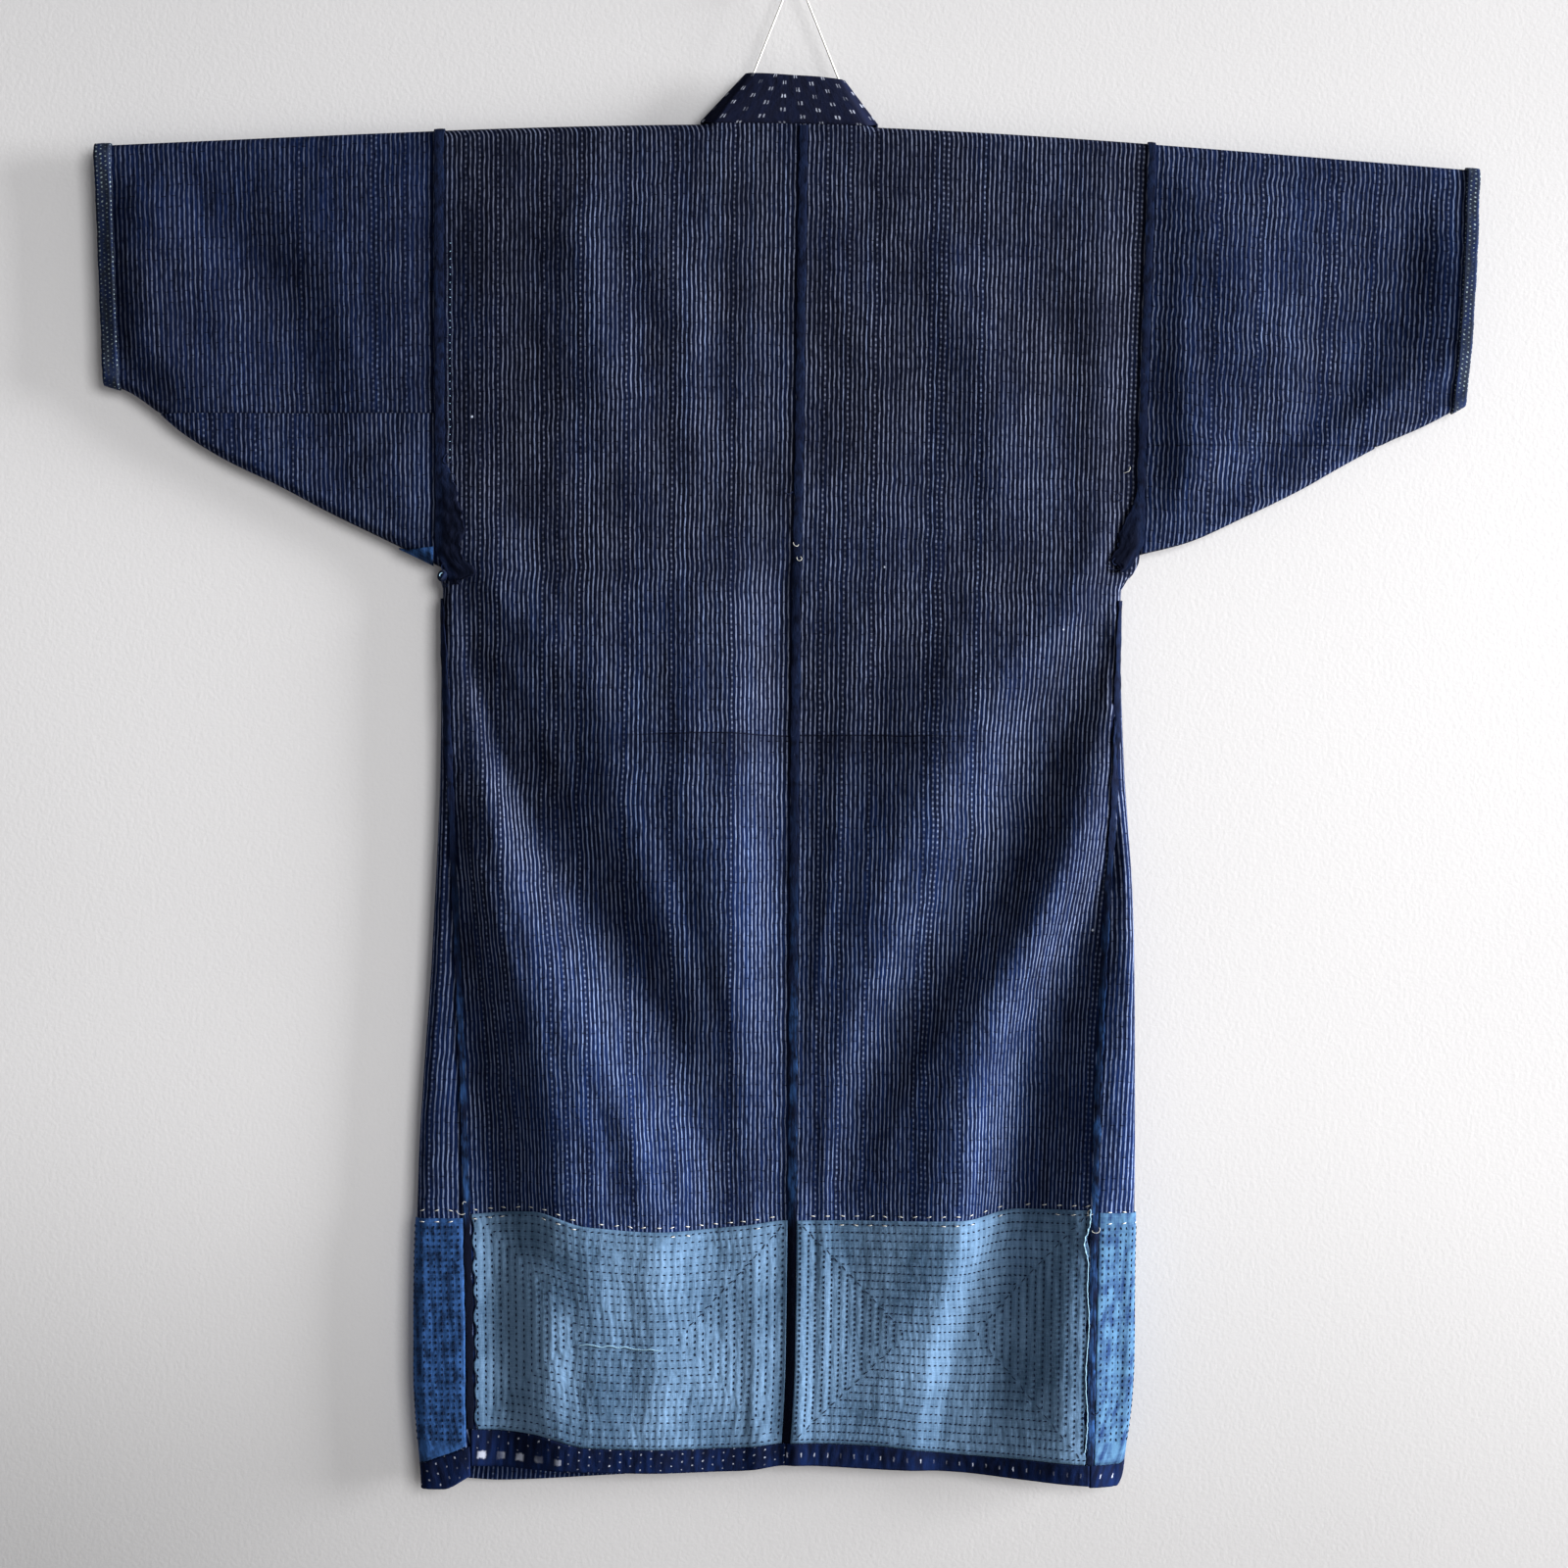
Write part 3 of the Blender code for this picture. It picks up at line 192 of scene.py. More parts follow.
# The back's large folds from left to right, each a crest or a hollow: how far across it lies and
# how far it stands out at each depth. The cloth runs smoothly from one to the next.
LINES = "down across out"
BACK_LINES = [in_millimetres(LINES, rows) for rows in (
    [(400, -318, 0), (950, -320, 0), (1020, -302, 3), (1216, -302, 3)],
    [(500, -308, 0), (620, -305, -1), (740, -296, -5), (860, -286, -7), (950, -280, -7), (1020, -268, -6),
     (1200, -266, -5)],
    [(460, -302, 0), (540, -299, 0), (620, -291, 4), (700, -266, 11), (780, -236, 15.5), (860, -212, 17),
     (930, -202, 17), (990, -199, 14.5), (1080, -200, 10), (1200, -200, 7)],
    [(400, -301, 0), (470, -298, -1), (540, -288, 0), (620, -272, 7), (700, -253, 12), (800, -210, 16),
     (860, -180, 17), (930, -142, 16.5), (990, -130, 13), (1080, -135, 9), (1200, -135, 6)],
    [(400, -300, 0), (470, -293, -3), (540, -272, -7), (600, -243, -9), (650, -216, -9), (700, -188, -9),
     (750, -156, -8), (800, -126, -5), (860, -100, -2.5), (940, -72, -2), (1200, -60, -2)],
    [(380, -285, 0), (420, -262, 3), (470, -205, 7), (520, -155, 9.5), (570, -148, 10), (620, -138, 9),
     (680, -118, 8), (740, -92, 7), (800, -75, 4), (860, -66, 1), (940, -55, -1.5), (1200, -45, -2)],
    [(360, -64, 2), (430, -63, 8), (540, -61, 12), (660, -61, 13.5), (760, -60, 11), (830, -54, 4.5),
     (900, -48, 0), (980, -40, -1), (1200, -36, 0)],
    [(360, -8, 0), (430, -8, -2), (700, -8, -4), (860, -8, -4), (1000, -12, -4), (1200, -14, -3)],
    [(400, 8, 0), (550, 8, -3), (860, 7, -3), (980, 4, -1), (1200, 0, 1)],
    [(380, 130, 0), (440, 88, 1), (500, 58, 1), (570, 50, 1), (650, 42, 3), (740, 28, 1), (860, 14, -2.5),
     (980, 18, -3), (1200, 18, -2)],
    [(390, 276, 1), (440, 240, 6), (490, 180, 9), (540, 146, 11.5), (600, 124, 11.5), (650, 105, 10),
     (700, 84, 8), (760, 62, 5), (810, 44, 2), (860, 32, -1.5), (940, 26, -2), (1200, 24, -2)],
    [(420, 289, 0), (480, 272, -3), (540, 238, -5), (600, 210, -6), (650, 190, -6), (700, 160, -6),
     (750, 126, -7), (800, 96, -7), (850, 72, -6), (900, 52, -5), (960, 36, -4), (1200, 30, -2)],
    [(460, 292, 0), (540, 280, 5), (600, 264, 8), (650, 247, 11), (700, 227, 11.8), (750, 200, 12.8),
     (800, 173, 13), (860, 154, 13.6), (930, 148, 13.6), (1000, 140, 9), (1080, 120, 3), (1200, 100, 0)],
    [(580, 300, 0), (650, 288, -2), (700, 268, -4), (760, 246, -6), (820, 224, -7), (900, 204, -9),
     (980, 186, -9), (1060, 160, -9), (1130, 142, -8), (1200, 130, -7)],
    [(620, 303, 0), (700, 300, 3), (760, 296, 8), (820, 292, 13), (900, 287, 16), (1000, 270, 16),
     (1100, 266, 16), (1200, 262, 15)],
    [(620, 306, 0), (700, 305, 3), (800, 304, 12), (920, 304, 14.5), (980, 302, 10), (1030, 298, 4),
     (1200, 292, 3)],
)]
SLEEVE_LINES = {side: [in_millimetres(LINES, rows) for rows in lines] for side, lines in {
    -1: ([(0, -627, -2), (400, -627, -2)],
        [(30, -590, 1), (100, -588, 4), (200, -582, 4), (280, -570, 0)],
        [(30, -530, -2), (75, -515, -5), (110, -480, -7), (180, -446, -7), (240, -430, -7),
         (300, -422, -4)],
        [(30, -470, -1), (110, -420, -3), (180, -392, -3), (240, -375, -3), (300, -370, -1)],
        [(0, -330, 0), (400, -330, 0)]),
    1: ([(0, 318, 0), (400, 318, 0)],
        [(50, 350, 2), (200, 352, 4), (300, 352, 5), (380, 340, 0)],
        [(50, 545, -2), (180, 535, -4), (240, 470, -5), (290, 430, -4), (340, 400, 0)],
        [(30, 606, 4), (100, 604, 10), (190, 596, 10), (250, 540, 7), (300, 480, 4), (340, 440, 0)],
        [(30, 626, 4), (100, 626, 9), (190, 622, 7), (250, 610, 2)]),
}.items()}
ROUNDING = 0.3             # how much of a fold's flank is rounded at each end
EDGE_SPREAD = 0.09         # how far in from the side fold the front follows it away from the wall

# Smaller creases: heads, bends and feet of soft ridges, or of troughs, whose height is below 0
RIDGES = "head_x head_down bend_x bend_down foot_x foot_down width height"
BACK_CREASES = in_millimetres(RIDGES, [
    (-205, 60, -185, 140, -150, 330, 26, 4), (-130, 90, -100, 180, -85, 300, 22, 2.4),
    (120, 80, 175, 230, 190, 360, 32, 3.6), (-318, 420, -270, 560, -235, 640, 14, -1.8),
    (-305, 440, -245, 500, -190, 620, 12, 1.4), (-295, 700, -270, 800, -245, 900, 14, 1.6),
    (-270, 800, -250, 880, -240, 960, 11, -1.4), (-225, 780, -190, 850, -170, 960, 12, 1.2),
    (-180, 860, -165, 920, -160, 975, 12, -2.4), (-140, 800, -105, 880, -95, 960, 14, 1.3),
    (-130, 880, -124, 930, -120, 975, 10, -1.8), (-120, 620, -95, 700, -85, 800, 14, -1.2),
    (-85, 830, -70, 870, -68, 930, 10, -1), (-100, 440, -95, 540, -105, 640, 16, 1.4),
    (-230, 150, -200, 240, -210, 340, 20, 1.4), (-60, 120, -75, 220, -65, 360, 18, -1.2),
    (-280, 250, -260, 330, -215, 420, 18, -1.4), (300, 330, 268, 380, 240, 440, 16, 2.6),
    (285, 420, 240, 500, 190, 560, 12, -1.4), (170, 420, 150, 450, 135, 500, 16, 1.6),
    (270, 600, 225, 690, 160, 800, 11, 1.3), (245, 700, 215, 790, 170, 880, 11, -1.3),
    (185, 640, 135, 740, 85, 820, 12, 1.4), (140, 800, 100, 870, 70, 950, 10, 1.3),
    (215, 860, 185, 915, 175, 972, 10, 1.3), (120, 640, 75, 720, 40, 800, 12, -1.3),
    (276, 800, 262, 900, 250, 968, 12, 1.4), (30, 880, 28, 925, 25, 972, 10, 1),
    (230, 130, 245, 220, 240, 330, 20, -1.4), (55, 150, 75, 260, 70, 380, 20, 1.2),
    (-258, 1000, -230, 1080, -225, 1190, 20, 3), (-210, 990, -200, 1080, -198, 1170, 14, -2),
    (-155, 1010, -150, 1080, -140, 1170, 16, -1.4), (-60, 1000, -75, 1090, -70, 1180, 20, 1.4),
    (55, 995, 60, 1080, 50, 1170, 18, -1.4), (185, 990, 190, 1070, 180, 1180, 16, -1.6),
    (240, 1020, 235, 1100, 240, 1180, 12, 1.4), (-555, 80, -500, 160, -430, 250, 36, 2),
    (-455, 50, -415, 140, -390, 270, 36, 2.6), (-600, 60, -560, 120, -520, 220, 18, -1.5),
    (-345, 250, -390, 290, -430, 310, 14, -1.6), (-340, 330, -375, 345, -400, 350, 10, 1.4),
    (340, 60, 360, 150, 365, 240, 16, -1.3), (385, 90, 430, 190, 450, 260, 34, 3),
    (345, 290, 400, 270, 470, 230, 14, 1.6), (340, 320, 375, 325, 420, 310, 11, -1.4),
    (500, 280, 530, 220, 570, 120, 24, 3.4), (575, 60, 592, 130, 595, 230, 16, 2.8)])
FRONT_CREASES = in_millimetres(RIDGES, [
    (-290, 480, -240, 700, -220, 1000, 45, 4), (-160, 100, -180, 500, -170, 900, 50, 3),
    (265, 470, 220, 680, 200, 1050, 45, 4), (150, 120, 165, 450, 150, 850, 50, 3),
    (-305, 430, -270, 560, -235, 700, 14, -1.8), (-200, 250, -220, 400, -250, 520, 18, 1.4),
    (-240, 780, -215, 900, -210, 1020, 16, 1.5), (-190, 640, -195, 780, -185, 960, 14, -1.2),
    (-130, 90, -120, 220, -135, 360, 16, -1.2), (285, 430, 245, 540, 205, 660, 14, -1.8),
    (190, 220, 215, 370, 240, 500, 18, 1.4), (225, 760, 200, 890, 190, 1040, 16, 1.5),
    (170, 620, 175, 760, 170, 930, 14, -1.2), (120, 100, 110, 240, 125, 380, 16, -1.2),
    (-560, 70, -510, 140, -450, 230, 20, 1.5), (-350, 270, -390, 300, -440, 310, 14, -1.4),
    (370, 80, 420, 180, 440, 260, 20, 1.5), (340, 300, 390, 290, 450, 260, 14, -1.4)])

# The collar's seam and free edge at each station: along the neck in metres, over the shoulder
# fold in degrees, then down the front in metres
COLLAR = {side: Table("station seam free_x free_y free_z", rows) for side, rows in {
    -1: [(0, 0.030, -0.0160, -0.0068, -0.0850), (1, 0.055, -0.0290, -0.0066, -0.0843),
         (2, 0.071, -0.0380, -0.0060, -0.0840), (3, 0.080, -0.0425, -0.0040, -0.0838),
         (4, 90.0, -0.0448, 0.0000, -0.0838), (5, 120.0, -0.0445, 0.0030, -0.0870),
         (6, 150.0, -0.0438, 0.0062, -0.0930), (7, 180.0, -0.0430, 0.0084, -0.1030),
         (8, 0.030, -0.0420, 0.0088, -0.1280), (9, 0.060, -0.0415, 0.0090, -0.1660)],
    1: [(0, 0.030, 0.0180, -0.0068, -0.0872), (1, 0.050, 0.0300, -0.0066, -0.0884),
        (2, 0.063, 0.0385, -0.0060, -0.0893), (3, 0.071, 0.0430, -0.0040, -0.0898),
        (4, 90.0, 0.0452, 0.0000, -0.0900), (5, 120.0, 0.0449, 0.0030, -0.0930),
        (6, 150.0, 0.0442, 0.0062, -0.0990), (7, 180.0, 0.0434, 0.0084, -0.1080),
        (8, 0.030, 0.0415, 0.0088, -0.1310), (9, 0.060, 0.0390, 0.0090, -0.1680)],
}.items()}
COLLAR_MIDDLE = (0.000, -0.0070, -0.0862)
COLLAR_FRONT_ROWS = (0.10, 0.16, 0.24, 0.34, 0.46, 0.58, 0.70, 0.82, 0.94, 1.05, 1.13, 1.205)


def linear(hex_colour):
    """Turn an sRGB hex colour into the linear numbers that a shader takes."""
    parts = [int(hex_colour[i:i + 2], 16) / 255 for i in (1, 3, 5)]
    return tuple(part / 12.92 if part <= 0.04045 else ((part + 0.055) / 1.055) ** 2.4 for part in parts)


def colour_property(name, description, hex_colour):
    return FloatVectorProperty(name=name, description=description, subtype="COLOR", size=3,
                               min=0.0, max=1.0, default=linear(hex_colour))


def length_property(name, description, default, high):
    return FloatProperty(name=name, description=description, subtype="DISTANCE", unit="LENGTH",
                         min=0.0, max=high, precision=5, default=default)


class RobeSizes(bpy.types.PropertyGroup):
    """Spacings and sizes of the weave and the needlework."""
    stripe_pitch: length_property("Stripe pitch", "From one pale stripe to the next", 0.00428, 0.05)
    stripe_width: length_property("Stripe width", "Width of one pale stripe", 0.00092, 0.02)
    bead_pitch: length_property("Bead pitch", "From dot to dot in a dotted stripe", 0.0050, 0.05)
    quilting_row: length_property("Quilting row", "From row to row of dark quilting", 0.0096, 0.05)
    quilting_stitch: length_property("Quilting stitch", "From stitch to stitch in a row", 0.0090, 0.05)
    patch_row: length_property("Patch row", "From row to row of the patches' stitching", 0.0073, 0.05)
    stitch_pitch: length_property("Stitch pitch", "From stitch to stitch on the left patch", 0.0059, 0.05)
    stitch_long: length_property("Stitch length", "What shows of one dark stitch", 0.0032, 0.02)
    stitch_wide: length_property("Stitch width", "Thickness of the sewing thread", 0.0014, 0.005)
    basting_pitch: length_property("Basting pitch", "From one tacking stitch to the next", 0.0125, 0.05)
    basting_long: length_property("Basting length", "What shows of a white tacking stitch", 0.0052, 0.02)
    pucker: length_property("Pucker", "How far the patches puff up between stitches", 0.0010, 0.005)


class RobeColours(bpy.types.PropertyGroup):
    """Colours of the cloths, the threads and the hanger."""
    # Ground and faded ground also carry painted light: faded ground as painted highlight on the stripes'
    # crests, both as painted shade in the side patches' hollows, ground on the shaded tapes too
    ground: colour_property("Ground", "Deep indigo between the stripes", "#080c1b")
    ground_faded: colour_property("Faded ground", "The same where it is worn", "#132756")
    stripe: colour_property("Stripe", "Most of the pale stripes", "#767c92")
    stripe_blue: colour_property("Blue stripe", "Stripes that took more dye", "#7c8fb8")
    stripe_white: colour_property("White stripe", "The palest stripes and flecks", "#b9c2d6")
    tape: colour_property("Seam tape", "Tapes over the seams", "#121930")
    patch: colour_property("Patch", "Sun-faded back patches", "#7293b6")
    # In the patches' hollows this colour is painted shade as well as less faded cloth
    patch_deep: colour_property("Patch, less faded", "The same in its hollows", "#2f4963")
    side_left: colour_property("Left side patch", "Blue patch by the left side seam", "#335a94")
    side_right: colour_property("Right side patch", "Blue patch by the right side seam", "#4a6f90")
    ikat: colour_property("Ikat ground", "Collar and hem bands", "#0c1124")
    collar: colour_property("Collar cotton", "The collar's nearly black ground", "#151829")
    mark: colour_property("Ikat mark", "Pale marks on collar and hem", "#aab0c2")
    cuff: colour_property("Cuff ground", "Green-black cuff bands", "#262c38")
    cuff_mark: colour_property("Cuff mark", "Dots on the cuffs", "#8d9da3")
    thread: colour_property("Dark thread", "Running stitches on the patches", "#111c38")
    thread_white: colour_property("White thread", "Tacking stitches and loose ends", "#e4e3dc")
    thread_blue: colour_property("Blue thread", "The mend in the left patch", "#9cc4dd")
    bamboo: colour_property("Bamboo", "The hanging rod", "#c9a46a")
    string: colour_property("String", "The hanging string", "#eeece6")
    steel: colour_property("Steel", "The wall pin", "#b9bbbd")


class RobeStage(bpy.types.PropertyGroup):
    """Camera, lights and backdrop."""
    camera_distance: length_property("Camera distance", "From lens to cloth", 3.0, 20.0)
    lens: FloatProperty(name="Lens", description="Focal length in millimetres on a 36 mm sensor",
                        unit="CAMERA", min=10.0, max=300.0, default=76.7)
    key_power: FloatProperty(name="Key power", description="Window far to the right, in watts",
                             unit="POWER", min=0.0, max=9000.0, default=1560.0)
    rake_power: FloatProperty(name="Rake power", description="More of the window, on the cloth only",
                              unit="POWER", min=0.0, max=9000.0, default=690.0)
    fill_power: FloatProperty(name="Fill power", description="Light from the room, on the backdrop only",
                              unit="POWER", min=0.0, max=9000.0, default=475.0)
    behind_power: FloatProperty(name="Light behind", description="Light on the hidden side of the robe",
                                unit="POWER", min=0.0, max=9000.0, default=170.0)
    sky: FloatProperty(name="Sky", description="Strength of the soft light from all round",
                       min=0.0, max=3.0, default=0.22)
    wall: colour_property("Wall", "Plaster behind the robe", "#dcdbdc")
    floor: colour_property("Floor", "Pale floor", "#dcd8d2")
    sky_colour: colour_property("Sky colour", "Cool light from all round", "#f4f6fb")


# Shaders ------------------------------------------------------------------------------------

# The setting that says how each of these kinds of node works
MODES = {"Math": "operation", "VectorMath": "operation", "Mix": "data_type",
         "MapRange": "interpolation_type"}


def add_node(tree, kind, *inputs, **settings):
    """Add one node: its kind and its way of working, then its inputs in order or as a dict by name.

    A way of working alone is one of Math's, or one of MapRange's two.
    """
    if kind.isupper():
        kind = ("MapRange " if kind in ("SMOOTHSTEP", "LINEAR") else "Math ") + kind
    kind, _, mode = kind.partition(" ")
    made = tree.nodes.new("ShaderNode" + kind)
    if mode:
        settings[MODES[kind]] = mode
    for name, value in settings.items():
        setattr(made, name, value)
    open_sockets = [socket for socket in made.inputs if socket.enabled]
    pairs = []
    for order, value in enumerate(inputs):
        if isinstance(value, dict):
            pairs += [(next(s for s in open_sockets if s.name == name), v) for name, v in value.items()]
        else:
            pairs.append((open_sockets[order], value))
    for socket, value in pairs:
        if isinstance(value, bpy.types.NodeSocket):
            tree.links.new(value, socket)
        elif socket.type == "RGBA":
            socket.default_value = (*value[:3], 1.0)
        else:
            socket.default_value = value
    return next(socket for socket in made.outputs if socket.enabled)


def new_material(name, roughness, specular=0.25, sheen=0.0, metallic=0.0):
    """Start a finish, with what is the same all over set on its shader; give what adds its nodes too."""
    material = bpy.data.materials.new(name)
    material.use_nodes = True
    shader = material.node_tree.nodes["Principled BSDF"]
    shader.inputs["Roughness"].default_value = roughness
    shader.inputs["Specular IOR Level"].default_value = specular
    shader.inputs["Sheen Weight"].default_value = sheen
    shader.inputs["Sheen Roughness"].default_value = 0.5
    shader.inputs["Metallic"].default_value = metallic
    return partial(add_node, material.node_tree), shader


def cloth_place(add):
    """The cloth's own coordinates in metres: across the loom, along it, and how worn it is, which carries
    painted light and shade too.
    """
    place = add("Attribute", attribute_name="cloth").node.outputs["Vector"]
    across, along, wear = add("SeparateXYZ", place).node.outputs
    return place, across, along, wear


def cloud(add, place, per_metre, detail=2.0, seed=0.0):
    """Noise from 0 to 1 with its own number of features to the metre each way."""
    where = add("VectorMath MULTIPLY", place, (*per_metre[:2], 0.0))
    where = add("VectorMath ADD", where, (seed, seed * 2.3, seed))
    return add("TexNoise", {"Vector": where, "Scale": 1.0, "Detail": detail, "Roughness": 0.55})


def finish_cloth(add, shader, colour, relief):
    """Send the colour and the relief, in metres, to the shader."""
    links = shader.id_data.links
    links.new(colour, shader.inputs["Base Color"])
    bump = add("Bump", {"Strength": 1.0, "Distance": 1.0, "Height": relief})
    links.new(bump, shader.inputs["Normal"])


def weave_relief(add, place, height):
    """Yarns of a hand-woven cotton: about 1.2 mm, drawn coarser than life so that they show."""
    warp = cloud(add, place, (820.0, 90.0), 1.0, 3.0)
    weft = cloud(add, place, (90.0, 820.0), 1.0, 7.0)
    both = add("ADD", warp, weft)
    return add("MULTIPLY", both, height)


def flecks(add, place, per_metre, rarity):
    """Stray slubs and lint: 1 on a few small round spots."""
    flat = add("VectorMath MULTIPLY", place, (1.0, 1.0, 0.0))
    cells = add("TexVoronoi", {"Vector": flat, "Scale": per_metre}).node
    picked = add("SMOOTHSTEP", add("SeparateXYZ", cells.outputs["Color"]), rarity, rarity + 0.01)
    spot = add("SMOOTHSTEP", cells.outputs["Distance"], 0.030, 0.05, 1.0, 0.0)
    return add("MULTIPLY", spot, picked)


def striped_cotton(name, colours, strength=1.0, blue=0.0, slack=1.0):
    """Indigo cotton, yarn-dyed in narrow stripes, quilted in two layers by hand.

    Matt, nearly black between thin even pale lines, with a dotted line here and there. It fades
    bluer towards the hem, and rows of dark quilting pull it in. Strength is how plain the lines
    are, blue how blue the ground is, and slack how far the lines waver.
    """
    add, shader = new_material(name, 0.9, 0.03)
    sizes = bpy.context.scene.robe_sizes
    place, across, along, wear = cloth_place(add)

    slow = cloud(add, place, (13.0, 34.0))
    quick = cloud(add, place, (150.0, 110.0), 1.0, 4.0)
    wander = add("MULTIPLY_ADD", slow, 0.0032 * slack, across)
    wander = add("MULTIPLY_ADD", quick, 0.0006 * slack, wander)
    phase = add("DIVIDE", wander, sizes.stripe_pitch)
    number = add("ROUND", phase)
    off_line = add("PINGPONG", phase, 0.5)
    chance = add("TexWhiteNoise", {"W": number}, noise_dimensions="1D").node
    first, second, third = add("SeparateXYZ", chance.outputs["Color"]).node.outputs

    dotted = add("SMOOTHSTEP", first, 0.91, 0.911)
    half = sizes.stripe_width / sizes.stripe_pitch / 2
    widened = add("MULTIPLY_ADD", second, half * 0.2, half * 0.9)
    widened = add("MULTIPLY_ADD", dotted, half * 0.3, widened)
    rim = add("ADD", widened, 0.06)
    line = add("SMOOTHSTEP", off_line, widened, rim, 1.0, 0.0)
    bead = add("ADD", add("DIVIDE", along, sizes.bead_pitch), third)
    bead = add("PINGPONG", bead, 0.5)
    bead = add("SMOOTHSTEP", bead, 0.14, 0.26, 0.95, 0.22)
    plain_or_dots = add("Mix", dotted, 1.0, bead)
    line = add("MULTIPLY", line, plain_or_dots)

    stripe_row = add("CombineXYZ", number, along, 0.0)
    long_fade = cloud(add, place, (24.0, 18.0), 3.0, 5.0)
    long_fade = add("SMOOTHSTEP", long_fade, 0.34, 0.62, 0.52, 1.0)
    short_fade = cloud(add, stripe_row, (5.1, 150.0), 1.0, 9.0)
    short_fade = add("SMOOTHSTEP", short_fade, 0.32, 0.58, 0.50, 1.0)
    strong = add("MULTIPLY_ADD", second, 0.12, 0.88)
    line = add("MULTIPLY", line, long_fade)
    line = add("MULTIPLY", line, short_fade)
    line = add("MULTIPLY", line, strong)
    depth = add("ABSOLUTE", along)
    plain = add("SMOOTHSTEP", depth, 0.05, 0.50, 0.88 * strength, strength)
    line = add("MULTIPLY", line, plain)
    line = add("MULTIPLY", line, add("LINEAR", wear, -0.5, 0.0, 0.7, 1.0), use_clamp=True)

    sway = cloud(add, place, (38.0, 9.0), 1.0, 2.0)
    row = add("MULTIPLY_ADD", sway, 0.0060, along)
    row = add("DIVIDE", row, sizes.quilting_row)
    row_number = add("ROUND", row)
    off_row = add("PINGPONG", row, 0.5)
    on_row = add("SMOOTHSTEP", off_row, 0.03, 0.08, 1.0, 0.0)
    row_chance = add("TexWhiteNoise", {"W": row_number}, noise_dimensions="1D")
    stitch = add("ADD", add("DIVIDE", across, sizes.quilting_stitch), row_chance)
    stitch = add("PINGPONG", stitch, 0.5)
    stitch = add("SMOOTHSTEP", stitch, 0.22, 0.26, 1.0, 0.0)
    stitch = add("MULTIPLY", stitch, on_row)
    missing = add("SMOOTHSTEP", cloud(add, place, (60.0, 60.0), 1.0, 6.0), 0.42, 0.52)
    stitch = add("MULTIPLY", stitch, missing)

    low = add("SMOOTHSTEP", depth, 0.25, 1.20)
    streaks = add("SMOOTHSTEP", cloud(add, place, (330.0, 16.0), 2.0, 5.0), 0.36, 0.68)
    blotches = add("SMOOTHSTEP", cloud(add, place, (9.0, 6.0), 3.0, 8.0), 0.36, 0.66)
    faded = add("MULTIPLY_ADD", low, 0.70, 0.04 + blue)
    # Crests paler: partly real fading, partly painted highlight
    rubbed_and_painted_highlight = add("MAXIMUM", wear, 0.0)
    faded = add("MULTIPLY_ADD", rubbed_and_painted_highlight, 0.20, faded)
    faded = add("MULTIPLY_ADD", blotches, 0.18, faded)
    share = add("MULTIPLY_ADD", streaks, 0.7, 0.3)
    share = add("MULTIPLY", share, faded, use_clamp=True)
    ground = add("Mix RGBA", share, colours.ground, colours.ground_faded)

    bluish = add("SMOOTHSTEP", third, 0.80, 1.0, 0.0, 0.4)
    bluish = add("MULTIPLY_ADD", faded, 1.0, bluish, use_clamp=True)
    yarn = add("Mix RGBA", bluish, colours.stripe, colours.stripe_blue)
    colour = add("Mix RGBA", line, ground, yarn)

    mark = add("MULTIPLY_ADD", cloud(add, place, (9.0, 30.0), 2.0, 11.0), 0.010, depth)
    crease = add("COMPARE", mark, FOLD_MARK, 0.0009)
    below = add("SMOOTHSTEP", mark, FOLD_MARK, 0.590, 0.45, 0.0)
    below = add("MULTIPLY", below, add("GREATER_THAN", mark, FOLD_MARK))
    crease = add("MULTIPLY_ADD", crease, 0.6, below)
    to_centre = add("PINGPONG", across, 1.0)
    near = add("SMOOTHSTEP", to_centre, 0.80, 0.90, 0.2, 1.0)
    crease = add("MULTIPLY", crease, near)
    shade = add("MULTIPLY_ADD", stitch, 0.55, crease, use_clamp=True)
    colour = add("Mix RGBA", shade, colour, colours.ground)
    colour = add("Mix RGBA", flecks(add, place, 36.0, 0.93), colour, colours.stripe_white)

    crumple = cloud(add, place, (120.0, 75.0), 2.0, 12.0)
    puff = add("MULTIPLY", off_row, crumple)
    relief = add("MULTIPLY", puff, 0.0018)
    relief = add("MULTIPLY_ADD", crumple, 0.0009, relief)
    relief = add("MULTIPLY_ADD", stitch, -0.0003, relief)
    relief = add("MULTIPLY_ADD", line, 0.0001, relief)
    finish_cloth(add, shader, colour, relief)


